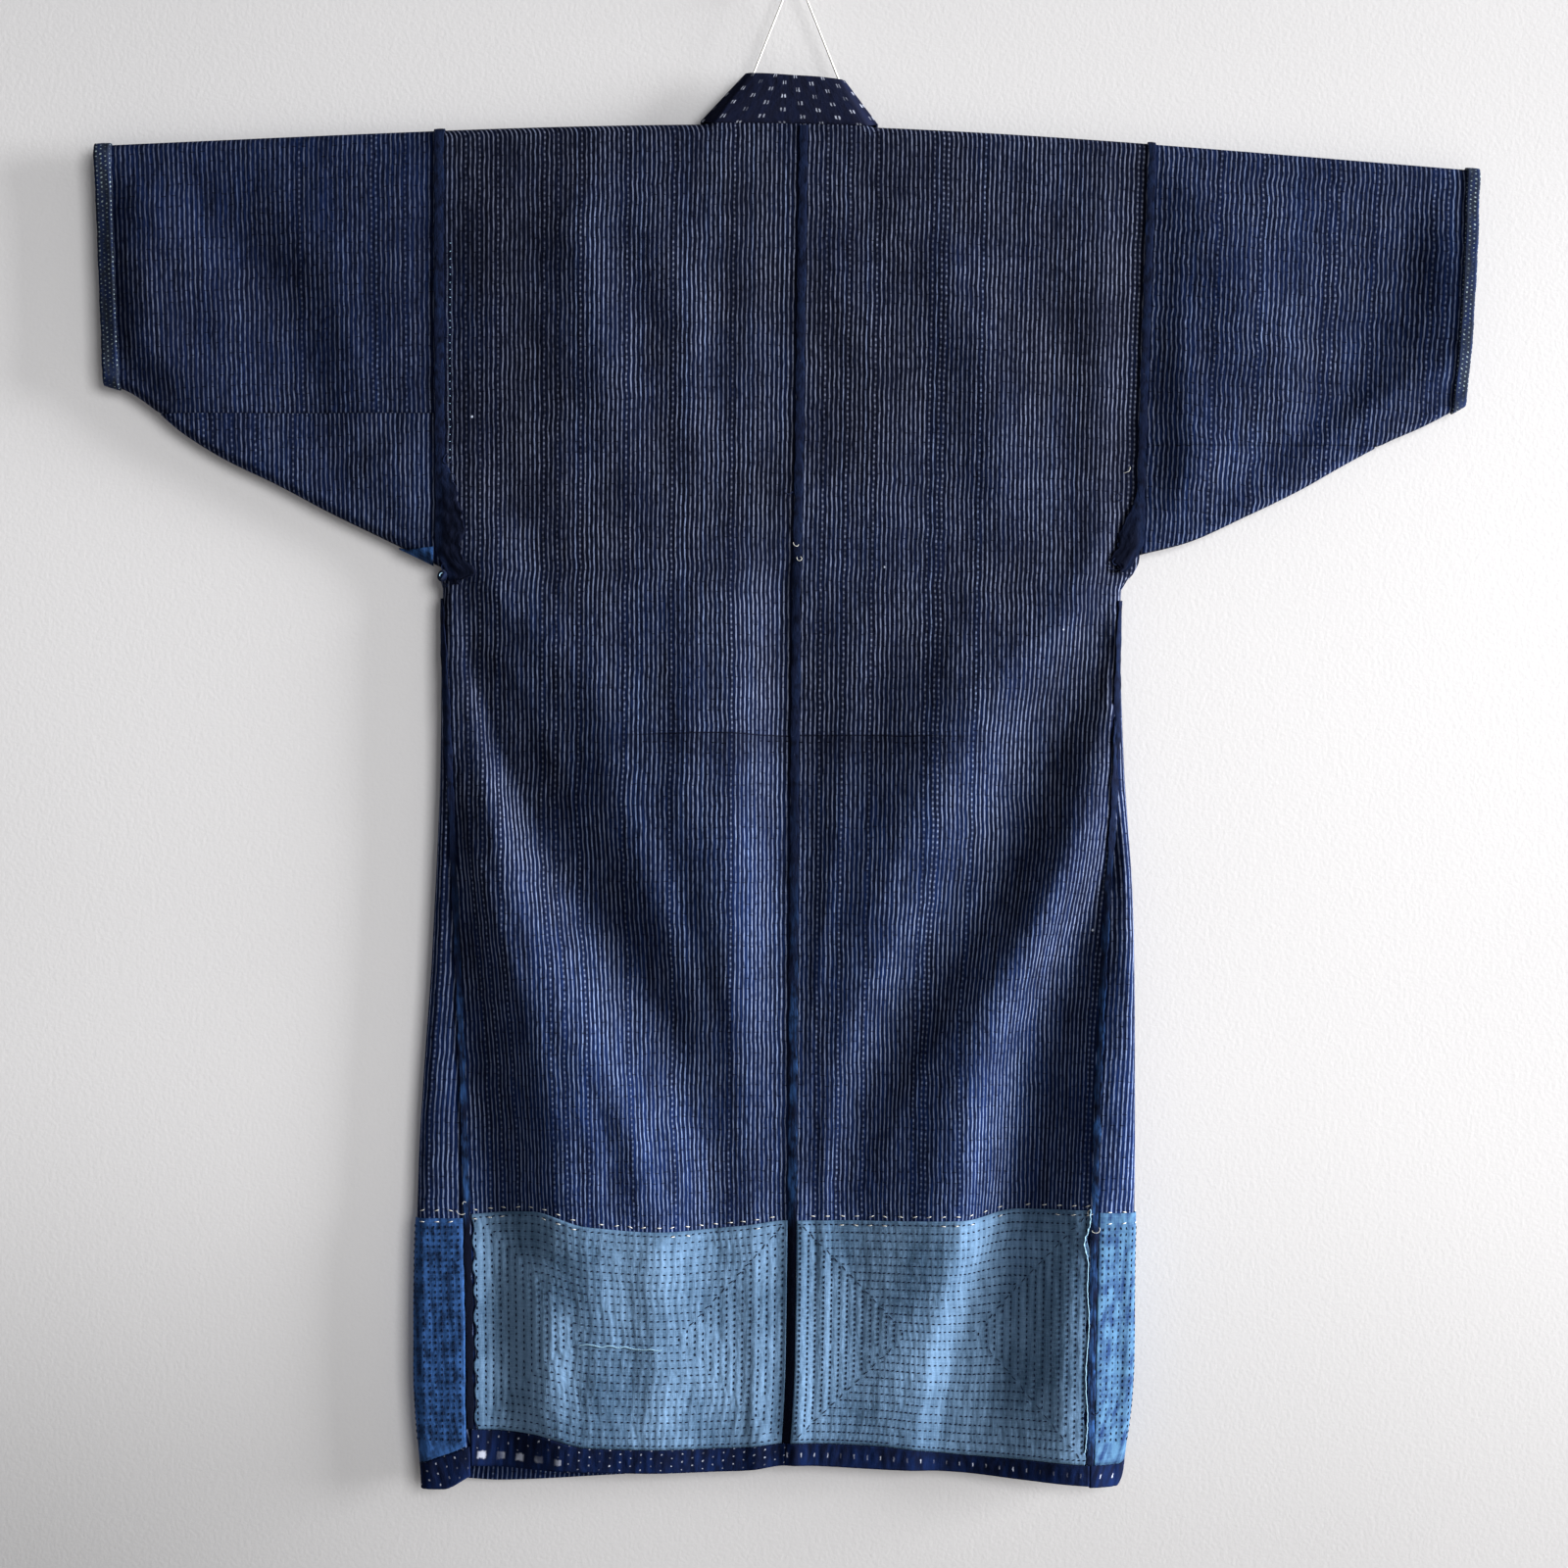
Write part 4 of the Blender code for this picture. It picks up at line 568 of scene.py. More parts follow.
def tick_lattice(add, place, spacing, size, drop=0.5, pair=0.0):
    """Small woven marks on a lattice whose every second column hangs lower; 1 on a mark.

    Resist-dyed yarns never line up quite, so the marks' edges waver.
    """
    wobble = cloud(add, place, (420.0, 420.0), 1.0, 5.0)
    wobble = add("SUBTRACT", wobble, 0.5)
    across, along, _ = add("SeparateXYZ", place).node.outputs
    across = add("MULTIPLY_ADD", wobble, 0.0016, across)
    along = add("MULTIPLY_ADD", wobble, 0.0020, along)
    column = add("DIVIDE", across, spacing[0])
    number = add("ROUND", column)
    beside = add("PINGPONG", column, 0.5)
    if pair:
        beside = add("SUBTRACT", beside, pair / spacing[0])
        beside = add("ABSOLUTE", beside)
    odd = add("FLOORED_MODULO", number, 2.0)
    row = add("DIVIDE", along, spacing[1])
    row = add("MULTIPLY_ADD", odd, drop, row)
    row = add("ADD", row, 0.5)
    above = add("PINGPONG", row, 0.5)
    half_wide = size[0] / spacing[0] / 2
    half_tall = size[1] / spacing[1] / 2
    wide = add("SMOOTHSTEP", beside, half_wide * 0.7, half_wide * 1.4, 1.0, 0.0)
    tall = add("SMOOTHSTEP", above, half_tall * 0.7, half_tall * 1.4, 1.0, 0.0)
    mark = add("MULTIPLY", wide, tall)
    faint = add("SMOOTHSTEP", cloud(add, place, (70.0, 70.0), 1.0, 9.0), 0.36, 0.64, 0.15, 1.0)
    return add("MULTIPLY", mark, faint)


def ikat_cotton(name, colours, lattice, ground="ikat", marks="mark", large=None, mottled=0.5):
    """Plain-woven cotton whose yarns were tied before dyeing: dark, with small soft-edged marks.

    large adds one row of larger marks: where it starts and ends, their lattice and its shift;
    mottled is how unevenly the ground has faded.
    """
    add, shader = new_material(name, 0.9, 0.04)
    place, across, along, wear = cloth_place(add)
    mottle = add("SMOOTHSTEP", cloud(add, place, (160.0, 40.0), 2.0), 0.35, 0.7, 0.0, mottled)
    mottle = add("MULTIPLY_ADD", wear, 0.8 * mottled, mottle, use_clamp=True)
    colour = add("Mix RGBA", mottle, getattr(colours, ground), colours.ground_faded)
    mark = tick_lattice(add, place, *lattice)
    if large:
        start, end, large_lattice, shift = large
        moved = add("VectorMath ADD", place, shift)
        inside = add("MULTIPLY", add("SMOOTHSTEP", across, start, start + 0.001),
                     add("SMOOTHSTEP", across, end - 0.001, end, 1.0, 0.0))
        patch = add("MULTIPLY", tick_lattice(add, moved, *large_lattice), inside)
        clear = add("SUBTRACT", 1.0, inside)
        low_part = add("SMOOTHSTEP", along, 0.0095, 0.0105, 1.0, 0.0)
        clear = add("MAXIMUM", clear, low_part)
        mark = add("MULTIPLY", mark, clear)
        mark = add("MAXIMUM", mark, patch)
    colour = add("Mix RGBA", mark, colour, getattr(colours, marks))
    crumple = cloud(add, place, (140.0, 120.0), 2.0, 6.0)
    relief = add("MULTIPLY", crumple, 0.0008)
    relief = add("ADD", weave_relief(add, place, 0.00010), relief)
    finish_cloth(add, shader, colour, relief)


def tape_cotton(name, colours):
    """Strips of plain dark cotton, folded and overcast along the seams: flat and a little fluffy.

    They have faded bluer low on the robe; painted shade darkens them where they run between the patches
    and where they bunch under the arm.
    """
    add, shader = new_material(name, 0.92, 0.05)
    place, _, along, wear = cloth_place(add)
    depth = add("ABSOLUTE", along)
    faded = add("SMOOTHSTEP", depth, 0.60, 0.95, 0.06, 0.85)
    # Painted shade: the tapes darken where they run in the slits between the patches
    painted_slit_shade = add("SMOOTHSTEP", along, 0.974, 0.990)
    streaks = cloud(add, place, (520.0, 40.0), 2.0)
    blotch = cloud(add, place, (90.0, 34.0), 2.0, 4.0)
    share = add("SMOOTHSTEP", add("MULTIPLY", streaks, blotch), 0.16, 0.40)
    share = add("MULTIPLY", share, faded)
    colour = add("Mix RGBA", share, colours.tape, colours.side_left)
    colour = add("Mix RGBA", flecks(add, place, 190.0, 0.66), colour, colours.stripe)
    dark = add("SMOOTHSTEP", cloud(add, place, (150.0, 90.0), 2.0, 8.0), 0.48, 0.66, 0.0, 0.7)
    dark = add("MAXIMUM", dark, painted_slit_shade)
    # Painted shade where the tape bunches under the arm
    dark = add("MAXIMUM", dark, add("MULTIPLY", wear, -1.0))
    colour = add("Mix RGBA", dark, colour, colours.ground)
    relief = add("MULTIPLY", cloud(add, place, (180.0, 110.0), 3.0), 0.0012)
    finish_cloth(add, shader, colour, relief)


def faded_cotton(name, colours, pale, deep, spread, puffs, mottle=(15.0, 12.0)):
    """Plain cotton washed and sunned to a pale blue: mottled, paler on its puffs and darker in the
    hollows, partly as painted light and shade, soft weave.
    """
    add, shader = new_material(name, 0.9, 0.08)
    place, _, _, wear = cloth_place(add)
    blotch = add("SMOOTHSTEP", cloud(add, place, mottle, 3.0), 0.36, 0.64)
    slub = add("SMOOTHSTEP", cloud(add, place, (60.0, 900.0), 1.0, 4.0), 0.35, 0.65)
    warp = add("SMOOTHSTEP", cloud(add, place, (900.0, 60.0), 1.0, 6.0), 0.35, 0.65)
    yarns = add("ADD", slub, warp)
    share = add("MULTIPLY", yarns, 0.16)
    share = add("MULTIPLY_ADD", blotch, spread, share)
    # Paler on the puffs, darker in the hollows between stitches: partly real fading, partly painted light
    # and shade
    share = add("MULTIPLY_ADD", wear, puffs, share, use_clamp=True)
    colour = add("Mix RGBA", share, getattr(colours, deep), getattr(colours, pale))
    relief = weave_relief(add, place, 0.00012)
    crumple = add("MULTIPLY", cloud(add, place, (95.0, 60.0), 2.0, 3.0), 0.0016)
    relief = add("ADD", relief, crumple)
    finish_cloth(add, shader, colour, relief)


def thread_cotton(name, colours, colour):
    """Loosely twisted cotton sewing thread: matt, with a slight fuzz."""
    add, shader = new_material(name, 0.9, 0.05, 0.05)
    place = add("TexCoord").node.outputs["Object"]
    fibres = add("TexNoise", {"Vector": place, "Scale": 900.0, "Detail": 1.0})
    tint = add("SMOOTHSTEP", fibres, 0.3, 0.7, 0.75, 1.0)
    colour = add("Mix RGBA", 1.0, getattr(colours, colour), tint, blend_type="MULTIPLY")
    finish_cloth(add, shader, colour, add("MULTIPLY", fibres, 0.0001))


def twisted_string(name, colours):
    """Two-ply bleached cotton string: the plies show as slanting grooves, with painted shade in them."""
    add, shader = new_material(name, 0.8, 0.3, 0.2)
    place = add("TexCoord").node.outputs["Object"]
    _, y, z = add("SeparateXYZ", place).node.outputs
    slant = add("MULTIPLY_ADD", y, 1.6, z)
    twist = add("SINE", add("MULTIPLY", slant, 2 * pi / STRING_LAY))
    groove = add("SMOOTHSTEP", twist, -1.0, 0.3, 0.0, 1.0)
    # Painted shade: the colour darkens in the grooves
    tint = add("LINEAR", groove, 0.0, 1.0, 0.78, 1.0)
    colour = add("Mix RGBA", 1.0, colours.string, tint, blend_type="MULTIPLY")
    finish_cloth(add, shader, colour, add("MULTIPLY", groove, 0.0002))


def bamboo_rod(name, colours):
    """Planed bamboo cane: smooth rind with long fibres and darker rings at its nodes."""
    add, shader = new_material(name, 0.45, 0.5)
    place = add("TexCoord").node.outputs["Object"]
    x = add("SeparateXYZ", place)
    grain = add("VectorMath MULTIPLY", place, (14.0, 900.0, 900.0))
    fibres = add("TexNoise", {"Vector": grain, "Scale": 1.0, "Detail": 2.0})
    joint = add("FRACT", add("DIVIDE", x, JOINT_PITCH))
    joint = add("ABSOLUTE", add("SUBTRACT", joint, 0.5))
    joint = add("SMOOTHSTEP", joint, 0.004, 0.012, 1.0, 0.0)
    dark = tuple(part * 0.45 for part in colours.bamboo)
    share = add("SMOOTHSTEP", fibres, 0.35, 0.75, 0.0, 0.55)
    share = add("MAXIMUM", share, joint)
    colour = add("Mix RGBA", share, colours.bamboo, dark)
    relief = add("MULTIPLY", joint, 0.0004)
    relief = add("MULTIPLY_ADD", fibres, 0.0001, relief)
    finish_cloth(add, shader, colour, relief)


def turned_steel(name, colours):
    """Turned mild steel: dull bright metal with faint rings from the tool."""
    add, shader = new_material(name, 0.38, 0.5, 0.0, 1.0)
    place = add("TexCoord").node.outputs["Object"]
    rings = add("TexWave", {"Vector": place, "Scale": 900.0, "Distortion": 0.5},
                wave_type="RINGS", rings_direction="Y")
    tint = add("LINEAR", rings, 0.0, 1.0, 0.86, 1.0)
    colour = add("Mix RGBA", 1.0, colours.steel, tint, blend_type="MULTIPLY")
    finish_cloth(add, shader, colour, add("MULTIPLY", rings, 0.00002))


def plaster(name, colour):
    """Matt papered plaster with painted shade: darker towards the floor, most in the lower left corner,
    and darker towards the left and the top; seen through from behind, never in the light's way.
    """
    add, shader = new_material(name, 0.95, 0.1)
    place = add("TexCoord").node.outputs["Object"]
    speckle = add("TexNoise", {"Vector": place, "Scale": 300.0, "Detail": 3.0})
    broad = add("TexNoise", {"Vector": place, "Scale": 1.4, "Detail": 2.0})
    tint = add("SMOOTHSTEP", broad, 0.3, 0.7, 0.96, 1.0)
    side, up = (add("SeparateXYZ", place).node.outputs[axis] for axis in "XZ")
    # Painted shade: darker towards the floor, and more so in the lower left corner
    painted_falloff = add("SMOOTHSTEP", up, -1.55, -0.95, 0.76, 1.0)
    corner = add("MULTIPLY", add("SMOOTHSTEP", up, -1.55, -0.85, 1.0, 0.0),
                 add("SMOOTHSTEP", side, -0.75, -0.15, 1.0, 0.0))
    painted_falloff = add("MULTIPLY_ADD", corner, -0.17, painted_falloff)
    # Painted shade: darker towards the left, away from the window
    tint = add("MULTIPLY", tint, add("LINEAR", side, -0.8, 0.8, 0.90, 1.0))
    tint = add("MULTIPLY", tint, painted_falloff)
    # Painted shade: darker towards the top
    tint = add("MULTIPLY", tint, add("SMOOTHSTEP", up, -0.50, 0.10, 1.0, 0.88))
    mixed = add("Mix RGBA", 1.0, colour, tint, blend_type="MULTIPLY")
    finish_cloth(add, shader, mixed, add("MULTIPLY", speckle, 0.0003))
    behind = add("NewGeometry").node.outputs["Backfacing"]
    shadow = add("LightPath").node.outputs["Is Shadow Ray"]
    clear = add("MAXIMUM", behind, shadow)
    empty = add("BsdfTransparent")
    surface = add("MixShader", clear, shader.outputs[0], empty)
    output = shader.id_data.nodes["Material Output"]
    shader.id_data.links.new(surface, output.inputs["Surface"])


# Spacing, size, drop of every second column, and half the distance between the ticks of a pair
LEFT_HEM_MARKS = (0.0092, 0.0068), (0.0012, 0.0010), 0.5, 0.0
LARGE_MARKS = 23.199, 23.288, ((0.0175, 0.0200), (0.0066, 0.0036), 0.0, 0.0), (0.0031, -0.0037, 0.0)
RIGHT_HEM_MARKS = (0.0119, 0.0200), (0.0010, 0.0036), 0.0, 0.0
COLLAR_MARKS = (0.0140, 0.0125), (0.0011, 0.0030), 0.5, 0.0013
CUFF_MARKS = (0.0041, 0.0042), (0.0013, 0.0009), 0.5, 0.0
SPOTTED = (110.0, 75.0)    # mottles to the metre each way

FINISHES = {
    "quilted_stripe_cotton": (striped_cotton, {}),
    "left_sleeve_stripe_cotton": (striped_cotton, {"strength": 0.78, "blue": 0.20}),
    "right_sleeve_stripe_cotton": (striped_cotton, {"strength": 0.82, "blue": 0.26, "slack": 1.8}),
    "left_hem_ikat_cotton": (ikat_cotton, {"lattice": LEFT_HEM_MARKS, "large": LARGE_MARKS}),
    "right_hem_ikat_cotton": (ikat_cotton, {"lattice": RIGHT_HEM_MARKS}),
    "collar_ikat_cotton": (ikat_cotton, {"ground": "collar", "lattice": COLLAR_MARKS, "mottled": 0.1}),
    "cuff_ikat_cotton": (ikat_cotton, {"ground": "cuff", "marks": "cuff_mark", "lattice": CUFF_MARKS}),
    "seam_tape_cotton": (tape_cotton, {}),
    "sunned_patch_cotton": (faded_cotton, {"pale": "patch", "deep": "patch_deep", "spread": 0.42,
                                           "puffs": 0.60}),
    "left_side_patch_cotton": (faded_cotton, {"pale": "side_left", "deep": "ground", "spread": 0.66,
                                              "puffs": 0.42, "mottle": SPOTTED}),
    "right_side_patch_cotton": (faded_cotton, {"pale": "side_right", "deep": "ground_faded",
                                               "spread": 0.62, "puffs": 0.34, "mottle": SPOTTED}),
    "dark_sewing_thread": (thread_cotton, {"colour": "thread"}),
    "white_sewing_thread": (thread_cotton, {"colour": "thread_white"}),
    "blue_sewing_thread": (thread_cotton, {"colour": "thread_blue"}),
    "twisted_cotton_string": (twisted_string, {}),
    "planed_bamboo": (bamboo_rod, {}),
    "turned_steel": (turned_steel, {}),
}


def finish(name):
    """Give a finish by its name, making it the first time that it is asked for."""
    if name not in bpy.data.materials:
        maker, given = FINISHES[name]
        maker(name, bpy.context.scene.robe_colours, **given)
    return bpy.data.materials[name]


# Skins --------------------------------------------------------------------------------------

def smooth(value):
    """Ease from 0 to 1."""
    value = np.clip(value, 0.0, 1.0)
    return value * value * (3 - 2 * value)


def mix(start, end, share):
    return start + (end - start) * share


def shoulder_top(x):
    """Height of the shoulder line: a level rod, bowed like a loaded beam, then tipped."""
    share = np.minimum(np.abs(x) / HALF_SPAN, 1.0)
    bow = share ** 2 * (6 - 4 * share + share ** 2) / 3
    return -PIN_TO_SHOULDER - SHOULDER_SLOPE * x - ROD_BOW * bow


def row_shift(x, down):
    return (shoulder_top(x) + PIN_TO_SHOULDER) * (1 - smooth(down / LEVEL_OUT))


def height(x, down):
    return -PIN_TO_SHOULDER - down + row_shift(x, down)


def down_at(x, z):
    """The row that lies at a height: the other way round from height()."""
    down = -PIN_TO_SHOULDER - z
    for _ in range(3):
        down = -PIN_TO_SHOULDER - z + row_shift(x, down)
    return down


def ridges(folds, x, down):
    """Height that a table of folds adds at each point, by its distance from their crests."""
    total = np.zeros(np.broadcast(x, down).shape)
    for head_x, head_down, bend_x, bend_down, foot_x, foot_down, width, tall in folds.rows:
        best = np.full(total.shape, 1.0)
        share_there = np.zeros(total.shape)
        legs = (((head_x, head_down), (bend_x, bend_down), 0.0),
                ((bend_x, bend_down), (foot_x, foot_down), 0.5))
        for (start_x, start_down), (end_x, end_down), share in legs:
            run_x, run_down = end_x - start_x, end_down - start_down
            along = (x - start_x) * run_x + (down - start_down) * run_down
            along = np.clip(along / (run_x ** 2 + run_down ** 2), 0.0, 1.0)
            away = np.hypot(x - start_x - along * run_x, down - start_down - along * run_down)
            nearer = away < best
            best = np.where(nearer, away, best)
            share_there = np.where(nearer, share + along / 2, share_there)
        strength = smooth(share_there / RIDGE_ENDS) * smooth((1 - share_there) / RIDGE_ENDS)
        total += tall * mix(RIDGE_LEAST, 1.0, strength) * np.exp(-(best / width) ** 2)
    return total


def creases_of(back, x, down):
    return np.where(back, ridges(BACK_CREASES, x, down), ridges(FRONT_CREASES, x, down))


def fullness(back, x, down, from_edge):
    """How far a panel stands out beyond its flat place, apart from the large folds."""
    room = smooth(from_edge / FADE) * smooth((down - BEND) / (2 * FADE))
    return room * (FULLNESS + creases_of(back, x, down))


def slope_between(share):
    """Rise from 0 to 1 along a straight flank that is only rounded where it ends."""
    share = np.clip(share, 0.0, 1.0)
    near = np.minimum(share, 1 - share)
    rounded = np.where(near < ROUNDING, near * near / (2 * ROUNDING), near - ROUNDING / 2)
    return np.where(share < 0.5, rounded, 1 - ROUNDING - rounded) / (1 - ROUNDING)


def large_folds(lines, x, down):
    """How far the crests and hollows of a table of lines stand out."""
    across = [line.read("across", down) for line in lines]
    out = [line.read("out", down) for line in lines]
    total = out[0]
    for order in range(len(lines) - 1):
        share = (x - across[order]) / (across[order + 1] - across[order])
        total = total + (out[order + 1] - out[order]) * slope_between(share)
    return total


def edge_out(side, down):
    """How far a side fold stands away from the wall."""
    return BACK_LINES[0 if side < 0 else -1].read("out", down)


def facing(place, first, second, outward):
    """Which way a skin faces, as unit vectors."""
    along = place(first + NORMAL_STEP, second) - place(first - NORMAL_STEP, second)
    across = place(first, second + NORMAL_STEP) - place(first, second - NORMAL_STEP)
    normal = np.cross(along, across)
    normal /= np.maximum(np.linalg.norm(normal, axis=-1, keepdims=True), 1e-12)
    sign = np.sum(normal * outward, axis=-1, keepdims=True) > 0
    return np.where(sign, normal, -normal)


def edge_inset(around):
    """How far in from the side fold a point lies that is so far around from it."""
    reach = np.abs(around)
    return np.where(reach < QUARTER, BEND * (1 - np.cos(reach / BEND)), BEND + reach - QUARTER)


def around_from_inset(inset):
    inside = np.clip(1 - inset / BEND, -1.0, 1.0)
    return np.where(inset < BEND, BEND * np.arccos(inside), QUARTER + inset - BEND)


def edge_x(side, down):
    """How far the side fold lies from the middle."""
    return BODY.read(SIDE_NAMES[side] + "_edge", down)


def body_x(side, around, down):
    return side * (edge_x(side, down) - edge_inset(around))


def body_place(side, around, down):
    """Points of the body's skin."""
    around, down = np.broadcast_arrays(around, down)
    x = body_x(side, around, down)
    inward = np.abs(around) - QUARTER
    depth = BEND + fullness(around > 0, x, down, inward)
    y = np.where(inward >= 0, np.where(around > 0, -depth, depth), -BEND * np.sin(around / BEND))
    edge = edge_out(side, down) * np.where(around > 0, 1.0, 1 - smooth(inward / EDGE_SPREAD))
    y = y - np.where((around > 0) & (inward >= 0), large_folds(BACK_LINES, x, down), edge)
    return np.stack((x, y, height(x, down)), -1)


def body_skin(side, around, down, lift=0.0):
    """Points of the body's skin, moved out from it by lift."""
    around, down = np.broadcast_arrays(around, down)
    points = body_place(side, around, down)
    if not np.any(lift):
        return points
    turn = np.clip(around, -QUARTER, QUARTER) / BEND
    outward = np.stack((side * np.cos(turn), -np.sin(turn), turn * 0), -1)
    normal = facing(lambda a, d: body_place(side, a, d), around, down, outward)
    return points + normal * np.asarray(lift)[..., None]


def armhole_open(side, down):
    return 1 - smooth((down - UNDERARM[side]) / UNDERARM_CLOSE)


def seam_around(side, down):
    return around_from_inset(BODY.read(SIDE_NAMES[side] + "_inset", down))


def back_edge(side, down):
    """Where the back ends: at the armhole, then at the side seam."""
    return mix(seam_around(side, down) + GAP / 2, QUARTER, armhole_open(side, down))


def front_edge(side, down):
    return mix(seam_around(side, down) - GAP / 2, -QUARTER, armhole_open(side, down))


def centre_around(side, down):
    edge = edge_x(side, down)
    return QUARTER + edge - side * BODY.read("centre", down) - GAP / 2 - BEND


def front_x(side, down):
    return NECK[side] + (FRONT_FOOT[side] - NECK[side]) * np.maximum(down / HEM, 0.0) ** FRONT_PARTING


def front_around(side, down):
    inset = edge_x(side, down) - front_x(side, down) - GAP
    return -(QUARTER + inset - BEND)


def tape_half(down):
    return mix(TAPE, NARROW_TAPE, smooth((down - NARROWING[0]) / NARROWING[1]))


def neck_share(side):
    centre = side * BODY.read("centre", 0.0)
    arm = edge_x(side, 0.0) - BEND
    return (NECK[side] - centre) / (arm - centre)


# A body length's columns are numbered 0 at the centre seam, 1 at the neck corner, 2 at the side
# fold and 3 at the side seam, where the front comes round onto the back.

def back_around(side, column, down):
    centre, edge = centre_around(side, down), back_edge(side, down)
    neck = mix(centre, edge, neck_share(side))
    inner = mix(centre, neck, np.minimum(column, 1.0))
    return np.where(column < 1, inner, mix(neck, edge, np.clip(column - 1, 0.0, 1.0)))


def front_place_around(side, column, down):
    seam, end = front_around(side, down), front_edge(side, down)
    panel = mix(seam, -QUARTER, np.clip(column - 1, 0.0, 1.0))
    return np.where(column < 2, panel, mix(-QUARTER, end, np.clip(column - 2, 0.0, 1.0)))


def back_levels(side, around, down):
    """Depths of the patch's top, the band's top and the hem on the back."""
    x = body_x(side, around, down)
    return [BACK_LEVELS.read(name, x) for name in ("patch_top", "band_top", "hem")]


def front_levels(side, around, down):
    """The same on a front, from the collar seam round to the side seam."""
    whole = np.where(around > 0, front_edge(side, down), -front_around(side, down))
    place = 1 + around / whole
    return [FRONT_LEVELS[side].read(name, place) for name in ("patch_top", "band_top", "hem")]


def lean_to_hem(down, hem):
    """Rows keep their depth high up, and lean below so that the last one is the hem."""
    share = np.maximum(down - HEM_BENDS_FROM, 0.0) / (HEM - HEM_BENDS_FROM)
    return np.where(share > 0, mix(HEM_BENDS_FROM, hem, share), down)


def loom_width(side):
    """Cloth from the centre seam to the side seam, the same at every level."""
    return edge_x(side, 0.0) - side * BODY.read("centre", 0.0)


def gathered(side, around, down, points):
    """Measure each row across the cloth from the centre seam, crowding the stripes on steep folds.

    The whole row is as wide as the loom, apart from what the armhole's closing adds or takes
    below it, which dies away further down.
    """
    rise = np.diff(points[..., 1], axis=1) * (around[:, 1:] > QUARTER)
    length = np.hypot(np.diff(around, axis=1), CROWDING * rise)
    total = np.concatenate((np.zeros_like(length[:, :1]), np.cumsum(length, axis=1)), axis=1)
    below = np.maximum(down, UNDERARM[side])
    span = centre_around(side, below) - back_edge(side, below)
    change = span - (centre_around(side, UNDERARM[side]) - back_edge(side, UNDERARM[side]))
    whole = loom_width(side) + change * (1 - smooth((below - UNDERARM[side]) / 0.45))
    return whole * total / np.maximum(total[:, -1:], 1e-9)


def unfaded(x, down):
    """How deep the dye still is: the wearer's left sleeve and shoulder have hardly faded."""
    return smooth((-0.08 - x) / 0.24) * smooth((0.36 - down) / 0.17)


def wear_and_painted_light_of(points):
    """How much each point is worn by how far it stands out, with painted highlight on the crests as well;
    less than 0 is deeper dye.
    """
    rubbed_and_painted_highlight = np.clip((np.abs(points[..., 1]) - (BEND + FULLNESS)) / 0.016, 0.0, 1.0)
    return rubbed_and_painted_highlight - 0.5 * unfaded(points[..., 0], -PIN_TO_SHOULDER - points[..., 2])


def cuff_x(side, down):
    (top_x, top_down), (foot_x, foot_down) = CUFF_TOP[side], CUFF_FOOT[side]
    return side * mix(top_x, foot_x, (down - top_down) / (foot_down - top_down))


def armhole_x(side, down):
    down = np.minimum(down, UNDERARM[side] - BEND)
    return side * (edge_x(side, down) - BEND + 2 * GAP)


def sleeve_length(side):
    return abs(float(cuff_x(side, SLEEVE_LEVEL) - armhole_x(side, SLEEVE_LEVEL)))


def sleeve_section(side, out):
    """Top and foot of the sleeve's flattened ring, and the cloth down one side of it."""
    top = shoulder_top(mix(armhole_x(side, 0.0), cuff_x(side, 0.0), out))
    foot = -PIN_TO_SHOULDER - SLEEVE.read(SIDE_NAMES[side] + "_foot", out)
    return top, foot, top - foot - 2 * BEND


def sleeve_place(side, out, along):
    """Points of the sleeve's skin, so far along its ring from the top: - is the back."""
    out, along = np.broadcast_arrays(out, along)
    top, foot, flat = sleeve_section(side, out)
    reach = np.abs(along)
    upper, lower = reach < QUARTER, reach >= QUARTER + flat
    turn = np.where(upper, reach / BEND, (reach - QUARTER - flat) / BEND)
    depth = np.where(upper, BEND * np.sin(turn), np.where(lower, BEND * np.cos(turn), BEND))
    z = np.where(upper, top - BEND + BEND * np.cos(turn),
                 np.where(lower, foot + BEND - BEND * np.sin(turn), top - BEND - (reach - QUARTER)))
    arm = armhole_x(side, down_at(armhole_x(side, 0.0), z))
    cuff = cuff_x(side, -PIN_TO_SHOULDER - z)
    x = mix(arm, cuff, out)
    down = down_at(x, z)
    from_fold = np.minimum(reach - QUARTER, QUARTER + flat - reach)
    from_end = np.minimum(np.abs(x - arm), np.abs(x - cuff))
    rise = smooth(np.minimum(from_fold, from_end) / FADE) * (FULLNESS + creases_of(along < 0, x, down))
    rise += smooth(from_fold / FADE) * (along < 0) * large_folds(SLEEVE_LINES[side], x, down)
    depth = depth + np.where(upper | lower, 0.0, rise)
    return np.stack((x, np.where(along > 0, depth, -depth), z), -1)


def sleeve_skin(side, out, along, lift=0.0):
    out, along = np.broadcast_arrays(out, along)
    points = sleeve_place(side, out, along)
    if not np.any(lift):
        return points
    top, _, flat = sleeve_section(side, out)
    on_arc = (np.abs(along) < QUARTER) | (np.abs(along) >= QUARTER + flat)
    middle = top - BEND - flat / 2
    outward = np.stack((points[..., 0] * 0, points[..., 1] * 100, (points[..., 2] - middle) * on_arc), -1)
    normal = facing(lambda o, a: sleeve_place(side, o, a), out, along, outward)
    return points + normal * np.asarray(lift)[..., None]


def sleeve_half_ring(side, out):
    return 2 * QUARTER + sleeve_section(side, out)[2]


def seam_on_fold(side, out):
    """How far the gusset's seam has come onto the sleeve's lower fold: 1 is its very edge."""
    foot = sleeve_section(side, out)[1]
    return np.clip((foot + BEND + PIN_TO_SHOULDER + GUSSET_SEAM[side]) / BEND, 0.0, 1.0)


